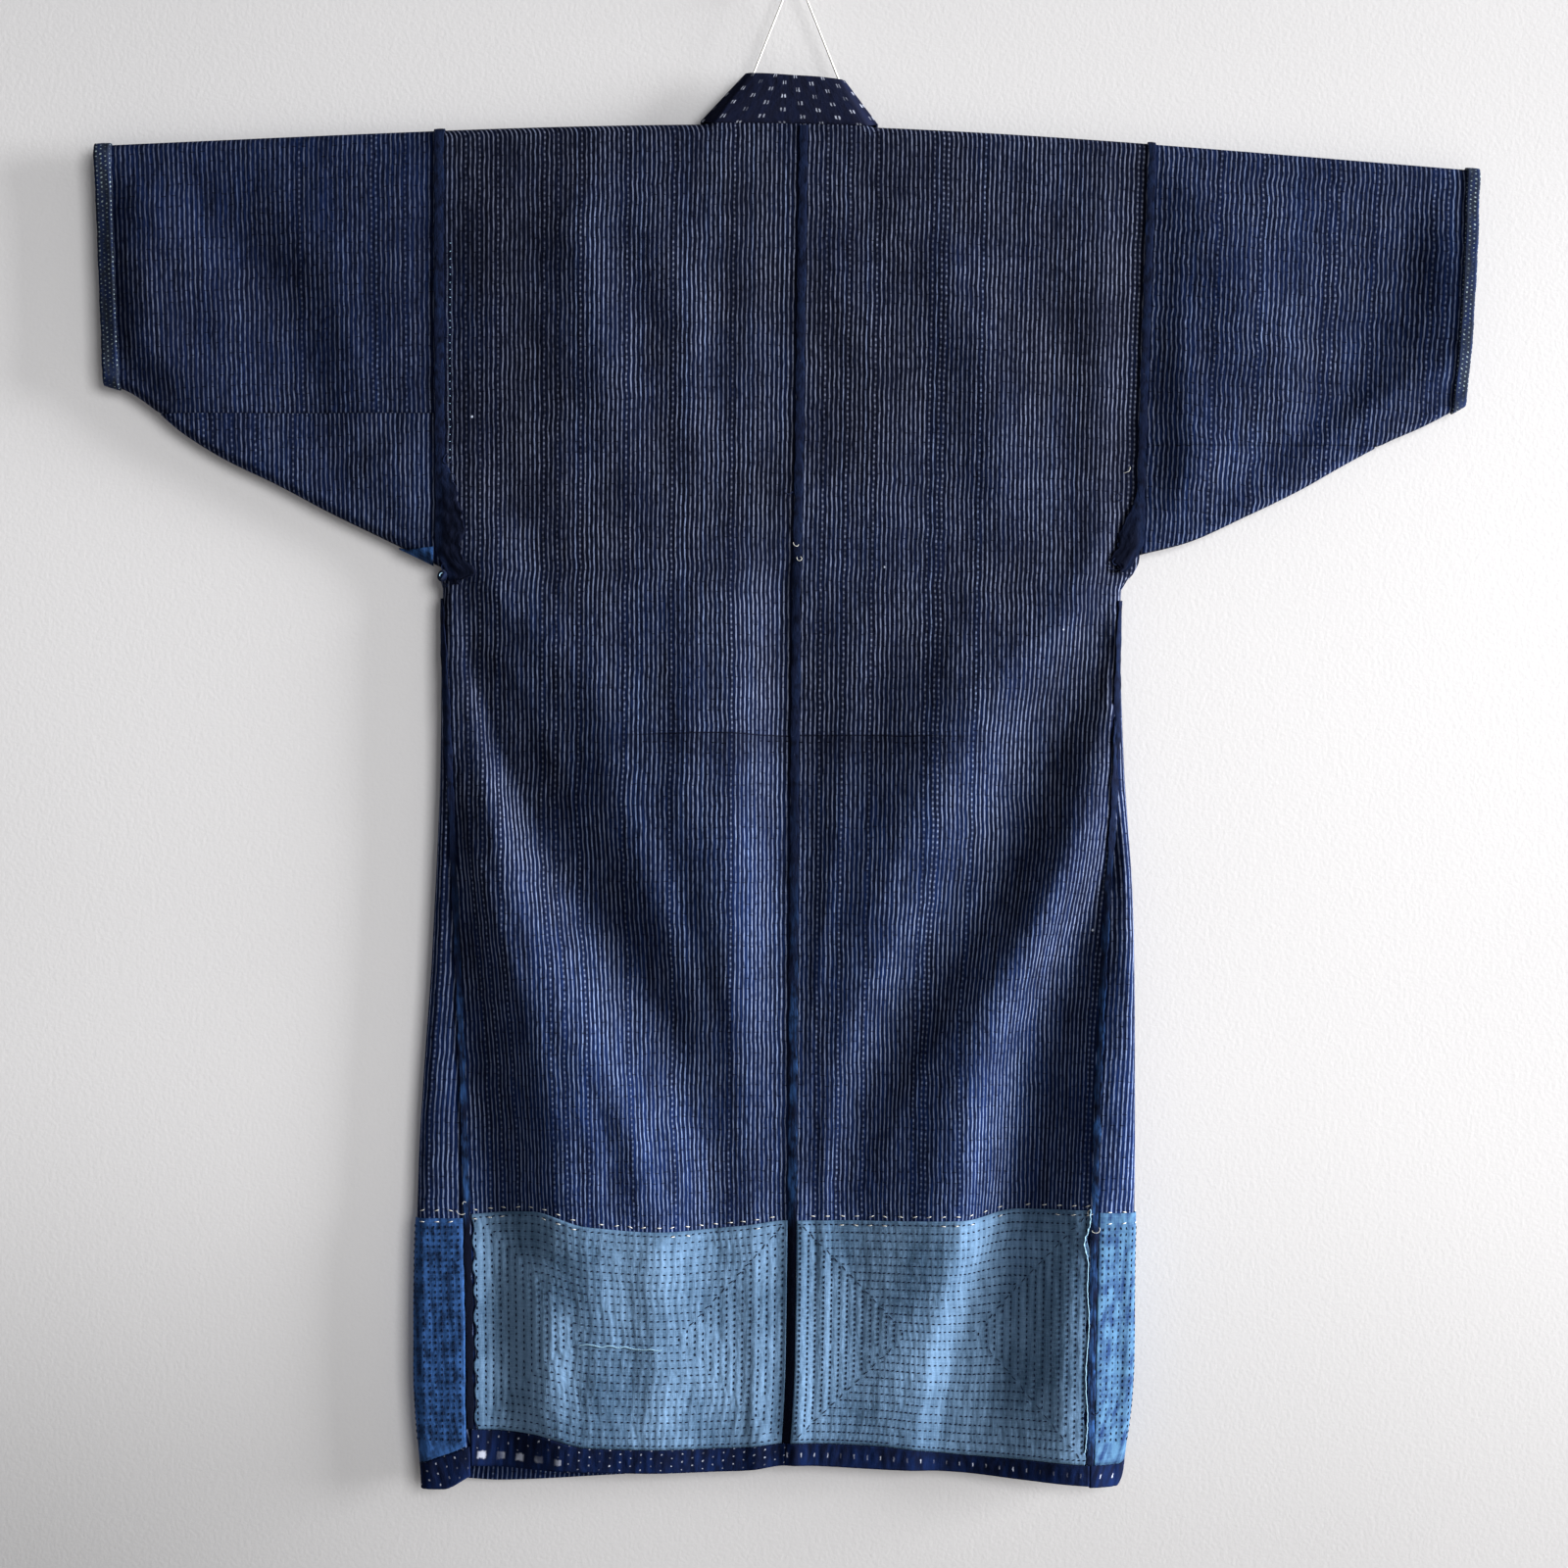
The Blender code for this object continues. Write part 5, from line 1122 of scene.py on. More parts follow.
def gusset_reach(side, out):
    """Cloth from the top of the ring down to the gusset's seam, or to the foot past it."""
    top, _, flat = sleeve_section(side, out)
    on_fold = seam_on_fold(side, out)
    on_arc = np.minimum(2 * QUARTER + flat - SELF_GAP, QUARTER + flat + BEND * np.arcsin(on_fold))
    return np.where(on_fold > 0, on_arc, QUARTER + (top - BEND) + PIN_TO_SHOULDER + GUSSET_SEAM[side])


def gusset_tip(side):
    """How far out the gusset ends: where its seam meets the sleeve's foot."""
    outs = np.arange(TIP_STEPS) / TIP_STEPS
    past = SLEEVE.read(SIDE_NAMES[side] + "_foot", outs) < GUSSET_SEAM[side] + TIP_DEPTH
    return float(outs[past][0]) if past.any() else 1.0


# Making pieces ------------------------------------------------------------------------------

def grid_of(rows, columns):
    return np.meshgrid(np.asarray(rows, float), np.asarray(columns, float), indexing="ij")


def spaced(*runs):
    """Grid lines through runs of (start, end, count), each starting where the last one ends."""
    lines = [np.linspace(*run) for run in runs]
    return np.concatenate([line[:-1] for line in lines[:-1]] + lines[-1:])


def sew(name, rows, columns, place, wall, look, nodes, slot, outside=False, keep=None):
    """Make one sheet: a grid laid on its skin, with its cloth coordinates and its thickness.

    place takes the grid's rows and columns, and gives points and cloth coordinates.
    """
    maker = bmesh.new()
    along, across = len(rows) - 1, len(columns) - 1
    bmesh.ops.create_grid(maker, x_segments=across, y_segments=along, size=1.0)
    if keep:
        unwanted = []
        for face in maker.faces:
            middle = face.calc_center_median()
            row, column = int((middle.y + 1) / 2 * along), int((middle.x + 1) / 2 * across)
            if not keep(row, column):
                unwanted.append(face)
        bmesh.ops.delete(maker, geom=unwanted, context="FACES")
    mesh = bpy.data.meshes.new(name)
    maker.to_mesh(mesh)
    spots = np.empty(len(mesh.vertices) * 3)
    mesh.vertices.foreach_get("co", spots)
    spots = spots.reshape(-1, 3)
    column = np.rint((spots[:, 0] + 1) / 2 * across).astype(int)
    row = np.rint((spots[:, 1] + 1) / 2 * along).astype(int)
    points, cloth = place(*grid_of(rows, columns))
    mesh.vertices.foreach_set("co", points[row, column].ravel())
    layer = mesh.attributes.new("cloth", "FLOAT_VECTOR", "POINT")
    layer.data.foreach_set("vector", cloth[row, column].ravel())
    maker.clear()
    maker.from_mesh(mesh)
    bmesh.ops.remove_doubles(maker, verts=maker.verts, dist=MERGE)
    maker.normal_update()
    outwards = sum(face.normal.y * face.calc_center_median().y * face.calc_area() for face in maker.faces)
    if outwards < 0:
        bmesh.ops.reverse_faces(maker, faces=maker.faces)
    maker.to_mesh(mesh)
    maker.free()
    mesh.shade_smooth()
    piece = dress(name, mesh, look, nodes)
    thick = piece.modifiers.new("Cloth", "SOLIDIFY")
    thick.thickness = wall
    thick.offset = 1.0 if outside else -1.0
    return piece


def sew_side(side, kind, node, rows, columns, points, wall, look, slot, **more):
    """Make one sheet of a pair: points takes the side, and then what place takes."""
    name = SIDE_NAMES[side]
    return sew("cloth_" + kind + "_" + name, rows, columns, partial(points, side), wall, finish(look),
               [node + "_" + name], slot, **more)


def dress(name, data, look, nodes):
    """Put a piece in the scene with its finish, and hide the CAD nodes that it stands for."""
    data.materials.append(look)
    piece = bpy.data.objects.new(name, data)
    bpy.context.scene.collection.objects.link(piece)
    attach(piece, "root")
    if nodes:
        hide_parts(*nodes)
    return piece


def coordinates(across, along, wear):
    """Cloth coordinates. Pieces of one cloth start whole metres apart, so that none repeat."""
    across, along, wear = np.broadcast_arrays(across, along, wear)
    return np.stack((across, along, wear), -1)


def needlework(name, spots, long, wide, look):
    """Small stitches, each a flattened bead along its thread; spots are (point, along, normal)."""
    maker = bmesh.new()
    for point, along, normal in spots:
        along = Vector(along).normalized()
        normal = Vector(normal)
        beside = normal.cross(along).normalized()
        normal = along.cross(beside)
        shape = Matrix((along * long / 2, beside * wide / 2, normal * wide * 0.35)).transposed().to_4x4()
        shape.translation = Vector(point)
        bmesh.ops.create_icosphere(maker, subdivisions=1, radius=1.0, matrix=shape)
    mesh = bpy.data.meshes.new(name)
    maker.to_mesh(mesh)
    maker.free()
    mesh.shade_smooth()
    return dress(name, mesh, look, ())


def threads(name, runs, radius, look, straight=False):
    """Thread or string, each run a thin round curve through its points."""
    curve = bpy.data.curves.new(name, "CURVE")
    curve.dimensions = "3D"
    curve.bevel_depth = radius
    curve.bevel_resolution = 3 if straight else 1
    curve.use_fill_caps = True
    for run in runs:
        spline = curve.splines.new("POLY" if straight else "NURBS")
        spline.points.add(len(run) - 1)
        for spot, point in zip(spline.points, run):
            spot.co = (*point, 1.0)
        if straight:
            spline.use_smooth = True
        else:
            spline.use_endpoint_u = True
            spline.order_u = 3
            spline.resolution_u = 4
    return dress(name, curve, look, ())


def stitch_spots(place, firsts, seconds, turns, lift, rng):
    """Lay stitches on a skin: place(first, second, lift) in metres, turned by an angle each."""
    firsts, seconds, turns = (np.asarray(part, float) for part in (firsts, seconds, turns))
    turns = turns + np.array([rng.uniform(-STRAY_TWIST, STRAY_TWIST) for _ in turns])
    points = place(firsts, seconds, lift)
    step = 0.001
    ahead = place(firsts + np.cos(turns) * step, seconds + np.sin(turns) * step, lift) - points
    aside = place(firsts - np.sin(turns) * step, seconds + np.cos(turns) * step, lift) - points
    normal = np.cross(ahead, aside)
    normal /= np.maximum(np.linalg.norm(normal, axis=-1, keepdims=True), 1e-12)
    return list(zip(points, ahead, normal))


# The body length's rows, from the back hem over the shoulder to the front hem: those of the back
# are below 1, the shoulder fold's are from 1 to 2, and those of the front are above 2.

def body_points(side, row, column):
    """Points and cloth coordinates of a whole body length."""
    back_down = mix(HEM, BEND, np.clip(row, 0.0, 1.0))
    around = back_around(side, column, back_down)
    down = lean_to_hem(back_down, back_levels(side, around, back_down)[2])
    around = back_around(side, column, down)
    back = body_skin(side, around, down)
    back_across = gathered(side, around, down, back)
    back_cloth = coordinates(back_across, down, wear_and_painted_light_of(back))

    front_down = mix(BEND, HEM, np.clip(row - 2, 0.0, 1.0))
    around = front_place_around(side, column, front_down)
    down = lean_to_hem(front_down, front_levels(side, around, front_down)[2])
    around = front_place_around(side, column, down)
    front = body_skin(side, around, down)
    front_across = NECK[side] + around - front_around(side, down)
    front_along = 2 * BEND - BEND * pi - down
    front_cloth = coordinates(front_across, front_along, wear_and_painted_light_of(front))

    turn = np.clip(row - 1, 0.0, 1.0) * pi
    back_x = body_x(side, back_around(side, column, BEND), BEND)
    over_x = body_x(side, front_place_around(side, column, BEND), BEND)
    x = np.where(column < 1, back_x, mix(back_x, over_x, turn / pi))
    ease = np.where(turn <= pi / 2, smooth((NECK[side] - side * x) / NECK_EASE), 0.0)
    fold = np.stack((x, -BEND * mix(np.cos(turn), 1.0, ease),
                     shoulder_top(x) - BEND + BEND * np.sin(turn)), -1)
    over_across = mix(back_across, front_across, smooth(turn / pi) * smooth((column - 0.7) / 0.3))
    fold_cloth = coordinates(over_across, BEND - BEND * turn, 0.1)

    on_back, on_front = (row < 1)[..., None], (row > 2)[..., None]
    points = np.where(on_back, back, np.where(on_front, front, fold))
    cloth = np.where(on_back, back_cloth, np.where(on_front, front_cloth, fold_cloth))
    cloth[..., 0] += 4 + side
    return points, cloth


BACK_ROWS, FOLD_ROWS, FRONT_ROWS = 236, 12, 150
NECK_COLUMNS, PANEL_COLUMNS, WRAP_COLUMNS = 22, 62, 14


class ROBE_OT_body(bpy.types.Operator):
    """Sew the two body lengths, which run from back hem over the shoulder to front hem"""
    bl_idname = "robe.body"
    bl_label = "Body lengths"

    def execute(self, context):
        rows = spaced((0, 1, BACK_ROWS), (1, 2, FOLD_ROWS), (2, 3, FRONT_ROWS))
        columns = spaced((0, 1, NECK_COLUMNS), (1, 2, PANEL_COLUMNS), (2, 3, WRAP_COLUMNS))
        over = int(np.searchsorted(rows, 1.5))
        first_front = int(np.searchsorted(rows, 2.0))
        for side in SIDES:
            front_downs = mix(BEND, HEM, rows - 2)

            def keep(row, column, front_downs=front_downs, side=side):
                if row < over:
                    return column < NECK_COLUMNS + PANEL_COLUMNS - 2
                if column < NECK_COLUMNS - 1:
                    return False
                below = row >= first_front and front_downs[row + 1] > UNDERARM[side]
                return below or column < NECK_COLUMNS + PANEL_COLUMNS - 2
            body = sew_side(side, "body", "body", rows, columns, body_points, CLOTH,
                            "quilted_stripe_cotton", "indigo_stripe_cotton", keep=keep)
            width, length = float(loom_width(side)), 2 * HEM_ROW + BEND * (pi - 2)
            front_width = width - NECK[side] + side * BODY.read("centre", 0.0)
        return {"FINISHED"}


# Each function named *_points places one kind of sheet: it takes the side and the grid's rows and
# columns, and gives points and cloth coordinates.

def sleeve_points(side, row, out):
    reach = np.abs(row) * gusset_reach(side, out)
    points = sleeve_skin(side, out, np.sign(row) * reach)
    wear = wear_and_painted_light_of(points)
    return points, coordinates(out * sleeve_length(side) + 8 + side, -np.sign(row) * reach, wear)


def gusset_points(side, row, out):
    gap = GAP if side < 0 else 0.2 * GAP
    start = gusset_reach(side, out) + gap * (1 + FOLD_GAPS * seam_on_fold(side, out))
    reach = mix(start, sleeve_half_ring(side, out), 1 - np.abs(row))
    points = sleeve_skin(side, out, np.where(row < 0, -reach, reach))
    along, wear = np.where(row < 0, reach, -reach), wear_and_painted_light_of(points)
    return points, coordinates(out * sleeve_length(side) + 10 - side, along, wear)


class ROBE_OT_sleeves(bpy.types.Operator):
    """Sew the sleeves and the gussets that widen them under the arm"""
    bl_idname = "robe.sleeves"
    bl_label = "Sleeves and gussets"

    def execute(self, context):
        for side in SIDES:
            name = SIDE_NAMES[side]
            length = sleeve_length(side)
            tip = gusset_tip(side)
            outs = spaced((0, tip, 58), (tip, 1, 12))
            around = spaced((-1, -0.06, 66), (-0.06, 0.06, 9), (0.06, 1, 50))
            look = name + "_sleeve_stripe_cotton"
            piece = sew_side(side, "sleeve", "sleeve", around, outs, sleeve_points, CLOTH, look,
                             "indigo_stripe_cotton")
            reaches = gusset_reach(side, np.linspace(0, 1, 60))
            around = spaced((-1, -0.25, 26), (-0.25, 0.25, 13), (0.25, 1, 20))
            outs = np.linspace(0, tip, 48)
            piece = sew_side(side, "gusset", "gusset", around, outs, gusset_points, CLOTH, look,
                             "indigo_stripe_cotton")
            deep = sleeve_half_ring(side, outs) - gusset_reach(side, outs)
        return {"FINISHED"}


def cuff_points(side, row, share):
    """A narrow band round the sleeve's end, frayed and finely waved."""
    length = sleeve_length(side)
    out = mix(1 - CUFF_BAND[side] / length, 1.0, share)
    reach = row * sleeve_half_ring(side, out)
    wave = 0.0003 * np.sin(reach / 0.00065) * np.sin(pi * share)
    out = out + frayed(reach, 0.0009, 4.0) * np.maximum(share - 0.6, 0.0) / length
    points = sleeve_skin(side, out, reach, TAPE_LIFT + 0.0002 + wave)
    return points, coordinates(share * CUFF_BAND[side], -reach, 0.2 * share)


class ROBE_OT_cuffs(bpy.types.Operator):
    """Bind the sleeves' ends with narrow bands"""
    bl_idname = "robe.cuffs"
    bl_label = "Cuff bands"

    def execute(self, context):
        for side in SIDES:
            rows = spaced((-1, -0.92, 8), (-0.92, -0.08, 240), (-0.08, 0.08, 13), (0.08, 0.92, 120),
                          (0.92, 1, 8))
            piece = sew_side(side, "cuff", "cuff", rows, np.linspace(0, 1, 7), cuff_points, OVERLAY,
                             "cuff_ikat_cotton", "green_black_ikat_cotton", outside=True)
            float(2 * sleeve_half_ring(side, 1.0))
        return {"FINISHED"}


def collar_seam(side, kind, value):
    """A point of the collar's seam: along the neck, over the shoulder fold, down the front."""
    if kind == "neck":
        x = side * value
        ease = float(smooth((NECK[side] - value) / NECK_EASE))
        return Vector((x, -BEND * ease, shoulder_top(x) + mix(CORNER_GAP, NECK_GAP, ease)))
    if kind == "bend":
        x = side * (NECK[side] - GAP)
        turn = radians(value)
        lift = CORNER_GAP * sin(turn)
        return Vector((x, -BEND * cos(turn), shoulder_top(x) - BEND + BEND * sin(turn) + lift))
    seam = Vector(body_place(side, front_around(side, value), value))
    seam.x -= side * GAP
    return seam


def collar_rows():
    """Seam point and free point at each station, from one front hem round to the other."""
    kinds = ["neck"] * 4 + ["bend"] * 4 + ["front"] * 2
    halves = {}
    for side in SIDES:
        rows = []
        for station, kind in enumerate(kinds):
            seam, *free = [float(COLLAR[side].read(column, station))
                           for column in ("seam", "free_x", "free_y", "free_z")]
            rows.append((*collar_seam(side, kind, seam), *free))
        for down in COLLAR_FRONT_ROWS:
            seam = collar_seam(side, "front", down)
            rows.append((*seam, *(seam - Vector((side * COLLAR_WIDTH, 0, 0)))))
        halves[side] = rows
    middle_x = float(BODY.read("centre", 0.0))
    middle = (middle_x, -BEND, float(shoulder_top(middle_x)) + NECK_GAP, *COLLAR_MIDDLE)
    stations = halves[-1][::-1] + [middle] + halves[1]
    numbered = [(order - len(halves[-1]), *row) for order, row in enumerate(stations)]
    return Table("station seam_x seam_y seam_z free_x free_y free_z", numbered)


class ROBE_OT_collar(bpy.types.Operator):
    """Fold the collar band round the neck and down both fronts"""
    bl_idname = "robe.collar"
    bl_label = "Collar"

    def execute(self, context):
        table = collar_rows()
        ends = [np.stack([table.columns[end + axis] for axis in "xyz"], -1) for end in ("seam_", "free_")]
        middles = (ends[0] + ends[1]) / 2
        lengths = np.linalg.norm(np.diff(middles, axis=0), axis=1)
        travelled = np.concatenate(([0.0], np.cumsum(lengths)))
        travelled -= np.interp(0.0, table.keys, travelled)

        def collar(station, share):
            seam, free = (np.stack([table.read(end + axis, station) for axis in "xyz"], -1)
                          for end in ("seam_", "free_"))
            points = mix(seam, free, share[..., None])
            along = np.interp(station, table.keys, travelled)
            standing = smooth((3.5 - np.abs(station)) / 2)
            crown = 0.0006 * np.sin(pi * share) * standing
            points[..., 1] += np.where(points[..., 1] < 0, -crown, 0.0)
            return points, coordinates(along, share * COLLAR_WIDTH, 0.15 * (share > 0.95))
        span = table.keys[-1]
        outer = np.linspace(4, span, 90)[1:]
        stations = np.concatenate((-outer[::-1], np.linspace(-4, 4, 81), outer))
        piece = sew("cloth_collar", stations, np.linspace(0, 1, 11), collar, BAND,
                    finish("collar_ikat_cotton"), ["collar"], "indigo_ikat_cotton")
        return {"FINISHED"}


def frayed(along, size, seed):
    """A soft uneven edge: waves of several lengths that never repeat."""
    return size * (0.5 * np.sin(along / 0.0071 + seed) + 0.3 * np.sin(along / 0.0029 + seed * 2)
                   + 0.2 * np.sin(along / 0.0013 + seed * 5))


def centre_tape_points(row, share):
    """The tape over the centre seam, from the shoulder fold down to the hem band."""
    down = np.maximum(row, BEND)
    band_top = back_levels(-1, centre_around(-1, down), down)[1]
    down = np.minimum(down, band_top)
    half = tape_half(down) + frayed(down, 0.0010, 1.0) * np.abs(share)
    reaches = [half * np.maximum(side * share, 0.0) for side in SIDES]
    left, right = (body_skin(side, centre_around(side, down) - reach, down, CENTRE_LIFT)
                   for side, reach in zip(SIDES, reaches))
    points = np.where((share < 0)[..., None], left, right)
    points = np.where((share == 0)[..., None], (left + right) / 2, points)
    over = np.clip((BEND - row) / BEND, 0.0, pi / 2)
    x = BODY.read("centre", 0.0) + share * TAPE
    fold = np.stack((x, points[..., 1], shoulder_top(x) - BEND + BEND * np.sin(over)), -1)
    points = np.where((row < BEND)[..., None], fold, points)
    points[..., 1] -= 0.0003 * np.cos(pi * share / 2)
    return points, coordinates(share * half, down, 0.0)


def armhole_tape_points(side, row, share):
    """A tape from the front's armhole over the shoulder to the back's, bunched under the arm."""
    flat = np.maximum(np.abs(row), BEND)
    half = ARMHOLE_TAPE[side] + frayed(row, 0.0008, 2.0 + side)
    bunched = smooth((row - BUNCH_FROM[side]) / 0.06) * (share < 0)
    half = half + bunched * (BUNCH_WIDE[side] + frayed(row, 0.0036, 1.0))
    tail = smooth((BUNCH_END[side] - row) / 0.012) * bunched + 1 - bunched
    wide = share * half * np.maximum(tail, 0.25)
    edge = edge_x(side, flat) - 0.0012
    drawn_in = 0.012 * smooth((row - UNDERARM[side] + 0.018) / 0.028)
    x = side * (np.minimum(side * armhole_x(side, flat), edge) - drawn_in + wide)
    face = np.where(row > 0, -1.0, 1.0)
    lift = TAPE_LIFT + 0.0003 * np.cos(pi * share / 2)
    panel = np.stack((x, face * (BEND + lift), height(x, flat)), -1)
    turn = (1 - row / BEND) * pi / 2
    top_x = armhole_x(side, BEND) + side * wide
    radius = BEND + lift
    fold = np.stack((top_x, -radius * np.cos(turn),
                     shoulder_top(top_x) - BEND + radius * np.sin(turn)), -1)
    crumple = np.sin(row / 0.0031 + 9.0 * share) * np.sin(row / 0.0087 - 7.0 * share)
    panel[..., 1] -= bunched * (0.0016 + 0.0013 * crumple)
    points = np.where((np.abs(row) < BEND)[..., None], fold, panel)
    # Negative worn share: painted shade on the tape where it bunches under the arm
    return points, coordinates(wide, row, -0.92 * bunched)


def side_tape_points(side, row, share):
    seam = seam_around(side, row)
    band_top = back_levels(side, seam, row)[1]
    down = np.minimum(row, band_top)
    wide = share * (SIDE_TAPE + frayed(down, 0.0010, 5.0 + side))
    lift = TAPE_LIFT + 0.0003 * np.cos(pi * share / 2)
    points = body_skin(side, seam_around(side, down) + wide, down, lift)
    return points, coordinates(wide, -side * down, 0.0)


class ROBE_OT_tapes(bpy.types.Operator):
    """Lay the dark tapes over the centre seam, the armholes and the side seams"""
    bl_idname = "robe.tapes"
    bl_label = "Seam tapes"

    def execute(self, context):
        look = "seam_tape_cotton"
        rows = spaced((BEND * (1 - pi / 3), BEND, 5), (BEND, CENTRE_TAPE_END, 300))
        piece = sew("cloth_centre_tape", rows, (-1, -0.85, -0.5, 0, 0.5, 0.85, 1), centre_tape_points,
                    CENTRE_WALL, finish(look), ["centre_seam_tape"], "dark_indigo_cotton", outside=True)

        for side in SIDES:
            low = UNDERARM[side] - ARMHOLE_TAPE_END
            rows = spaced((-low, -BEND, 80), (-BEND, BEND, 13), (BEND, BUNCH_END[side], 200))
            shares = (-1, -0.93, -0.8, -0.65, -0.5, -0.35, -0.2, 0, 0.3, 0.6, 0.85, 1)
            piece = sew_side(side, "armhole_tape", "armhole_tape", rows, shares, armhole_tape_points,
                             OVERLAY, look, "dark_indigo_cotton", outside=True)

            rows = np.linspace(*SIDE_TAPE_SPAN, 200)
            piece = sew_side(side, "side_tape", "side_seam_tape", rows, (-1, -0.8, -0.4, 0, 0.4, 0.8, 1),
                             side_tape_points, OVERLAY, look, "dark_indigo_cotton", outside=True)
        return {"FINISHED"}


# The patches and the hem bands --------------------------------------------------------------

PATCH_WIDE = {-1: 0.288, 1: 0.268}
PATCH_TALL = 0.205
PATCH_PUFF = {-1: 0.65, 1: 0.45}       # the left patch is drawn up harder
PATCH_PITCH = {-1: 1.0, 1: 0.8}        # and the right one has smaller stitches
HEM_TALL = 0.020
FRONT_WIDE = 0.24
LEVEL_ROWS = (PATCH_ROW, BAND_ROW, HEM_ROW)


def laid(side, column, row, around_of, levels, first, gap=0.0):
    """How far around and down a point lies on cloth that runs from one level to the next."""
    top, foot = (levels(side, around_of(side, column, down), down)[level]
                 for level, down in ((first, LEVEL_ROWS[first]), (first + 1, LEVEL_ROWS[first + 1])))
    down = mix(top + gap, foot, row)
    return around_of(side, column, down), down


def patch_span(side, down):
    """Where a back patch starts beside the centre tape and ends beside the side tape."""
    start = centre_around(side, down) - tape_half(down) - 2 * GAP
    end = back_edge(side, down) + SIDE_TAPE + 2 * GAP
    return start, end


def patch_place(side, across, along, lift=0.0):
    """Points of a back patch: metres out from the centre seam, metres down from its top."""
    share, fall = across / PATCH_WIDE[side], along / PATCH_TALL
    around = mix(*patch_span(side, PATCH_ROW), share)
    top = back_levels(side, around, PATCH_ROW)[0]
    around = mix(*patch_span(side, BAND_ROW), share)
    foot = back_levels(side, around, BAND_ROW)[1]
    down = mix(top, foot, fall)
    return body_skin(side, mix(*patch_span(side, down), share), down, GAP + lift)


def to_patch_edge(side, across, along):
    """Distance from a point to the nearest edge of a back patch, and whether that is at a side."""
    to_side = np.minimum(across, PATCH_WIDE[side] - across)
    to_end = np.minimum(along, PATCH_TALL - along)
    return np.minimum(to_side, to_end), to_side < to_end


def rib_sway(side, across, along):
    """How far the ribs wander sideways on their way down."""
    return (0.0016 * np.sin(along / 0.019 + across / 0.045 + side)
            + 0.0008 * np.sin(along / 0.0075 + across / 0.012))


def patch_puckers(side, across, along, sizes):
    """How the cloth puffs up between its stitches: upright ribs, whichever way the rows run."""
    inset, by_side = to_patch_edge(side, across, along)
    pitch = sizes.stitch_pitch * PATCH_PITCH[side]
    swayed = across + rib_sway(side, across, along)
    between_stitches = 0.5 - 0.5 * np.cos(2 * pi * swayed / pitch)
    between_rows = 0.5 + 0.5 * np.cos(2 * pi * inset / sizes.patch_row)
    rib = np.where(by_side, between_rows, 0.75 * between_stitches + 0.25 * between_rows)
    wide_rib = 0.5 + 0.5 * np.cos(2 * pi * swayed / 0.0137 + 1.4 * np.sin(along / 0.031 + 2.0 * side))
    uneven = 0.62 + 0.38 * np.sin(across / 0.0173 + 1.3 * side) * np.sin(along / 0.0231 + across / 0.04)
    return (0.7 * rib * uneven + 0.3 * wide_rib) * smooth(inset / 0.005)


def back_patch_points(side, row, share):
    """A back patch with a scalloped outer edge, puffed up between its stitches."""
    sizes = bpy.context.scene.robe_sizes
    along, across = row * PATCH_TALL, share * PATCH_WIDE[side]
    scallop = 0.0014 * (1 + np.sin(along / 0.0038 + 2 * side)) + frayed(along, 0.0007, 3.0)
    across = across - np.maximum(scallop, 0.0) * smooth((share - 0.94) / 0.06)
    puff = patch_puckers(side, across, along, sizes)
    points = patch_place(side, across, along, puff * sizes.pucker * PATCH_PUFF[side])
    # The puff goes in as the cloth's worn share: paler tops and darker hollows, partly painted light and
    # shade
    return points, coordinates(across + 16 + side, along, puff)


def front_patch_points(side, row, column):
    around, down = laid(side, column, row, front_place_around, front_levels, 0)
    around = around - np.clip((column - 2.8) / 0.2, 0.0, 1.0) * (SIDE_TAPE + 2 * GAP)
    across = around - front_around(side, down)
    puff = 0.5 - 0.5 * np.cos(2 * pi * across / 0.0078 + 0.6 * np.sin(down / 0.02))
    points = body_skin(side, around, down, GAP + 0.0004 * puff * np.sin(pi * row))
    # The puff goes in as the cloth's worn share: paler tops and darker hollows, partly painted light and
    # shade
    return points, coordinates(across + 19.0 + side, row * PATCH_TALL, puff)


def scrap_points(row, share):
    side = -1
    out = mix(SCRAP_START, SCRAP_LONG / sleeve_length(side), share)
    tall = mix(SCRAP_TALL, SCRAP_TIP, share)
    reach = sleeve_half_ring(side, out) - GAP - tall * row
    points = sleeve_skin(side, out, -reach, SCRAP_LIFT + 0.0004 * np.sin(pi * row))
    return points, coordinates(21 + share * SCRAP_LONG, tall * row, 0.0)


class ROBE_OT_patches(bpy.types.Operator):
    """Lay the faded back patches, the blue side patches and the underarm scrap"""
    bl_idname = "robe.patches"
    bl_label = "Patches"

    def execute(self, context):
        for side in SIDES:
            name = SIDE_NAMES[side]
            patch = sew_side(side, "back_patch", "back_patch", np.linspace(0, 1, 84),
                             np.linspace(0, 1, 230), back_patch_points, OVERLAY, "sunned_patch_cotton",
                             "faded_blue_cotton", outside=True)
            columns = spaced((1, 2, 60), (2, 3, 28))
            patch = sew_side(side, "side_patch", "front_patch", np.linspace(0, 1, 50), columns,
                             front_patch_points, OVERLAY, name + "_side_patch_cotton",
                             "bright_blue_cotton", outside=True)
        piece = sew("cloth_underarm_scrap", np.linspace(1, 0, 12), np.linspace(0, 1, 16),
                    scrap_points, OVERLAY, finish("left_side_patch_cotton"),
                    ["underarm_scrap_left"], "bright_blue_cotton", outside=True)
        return {"FINISHED"}


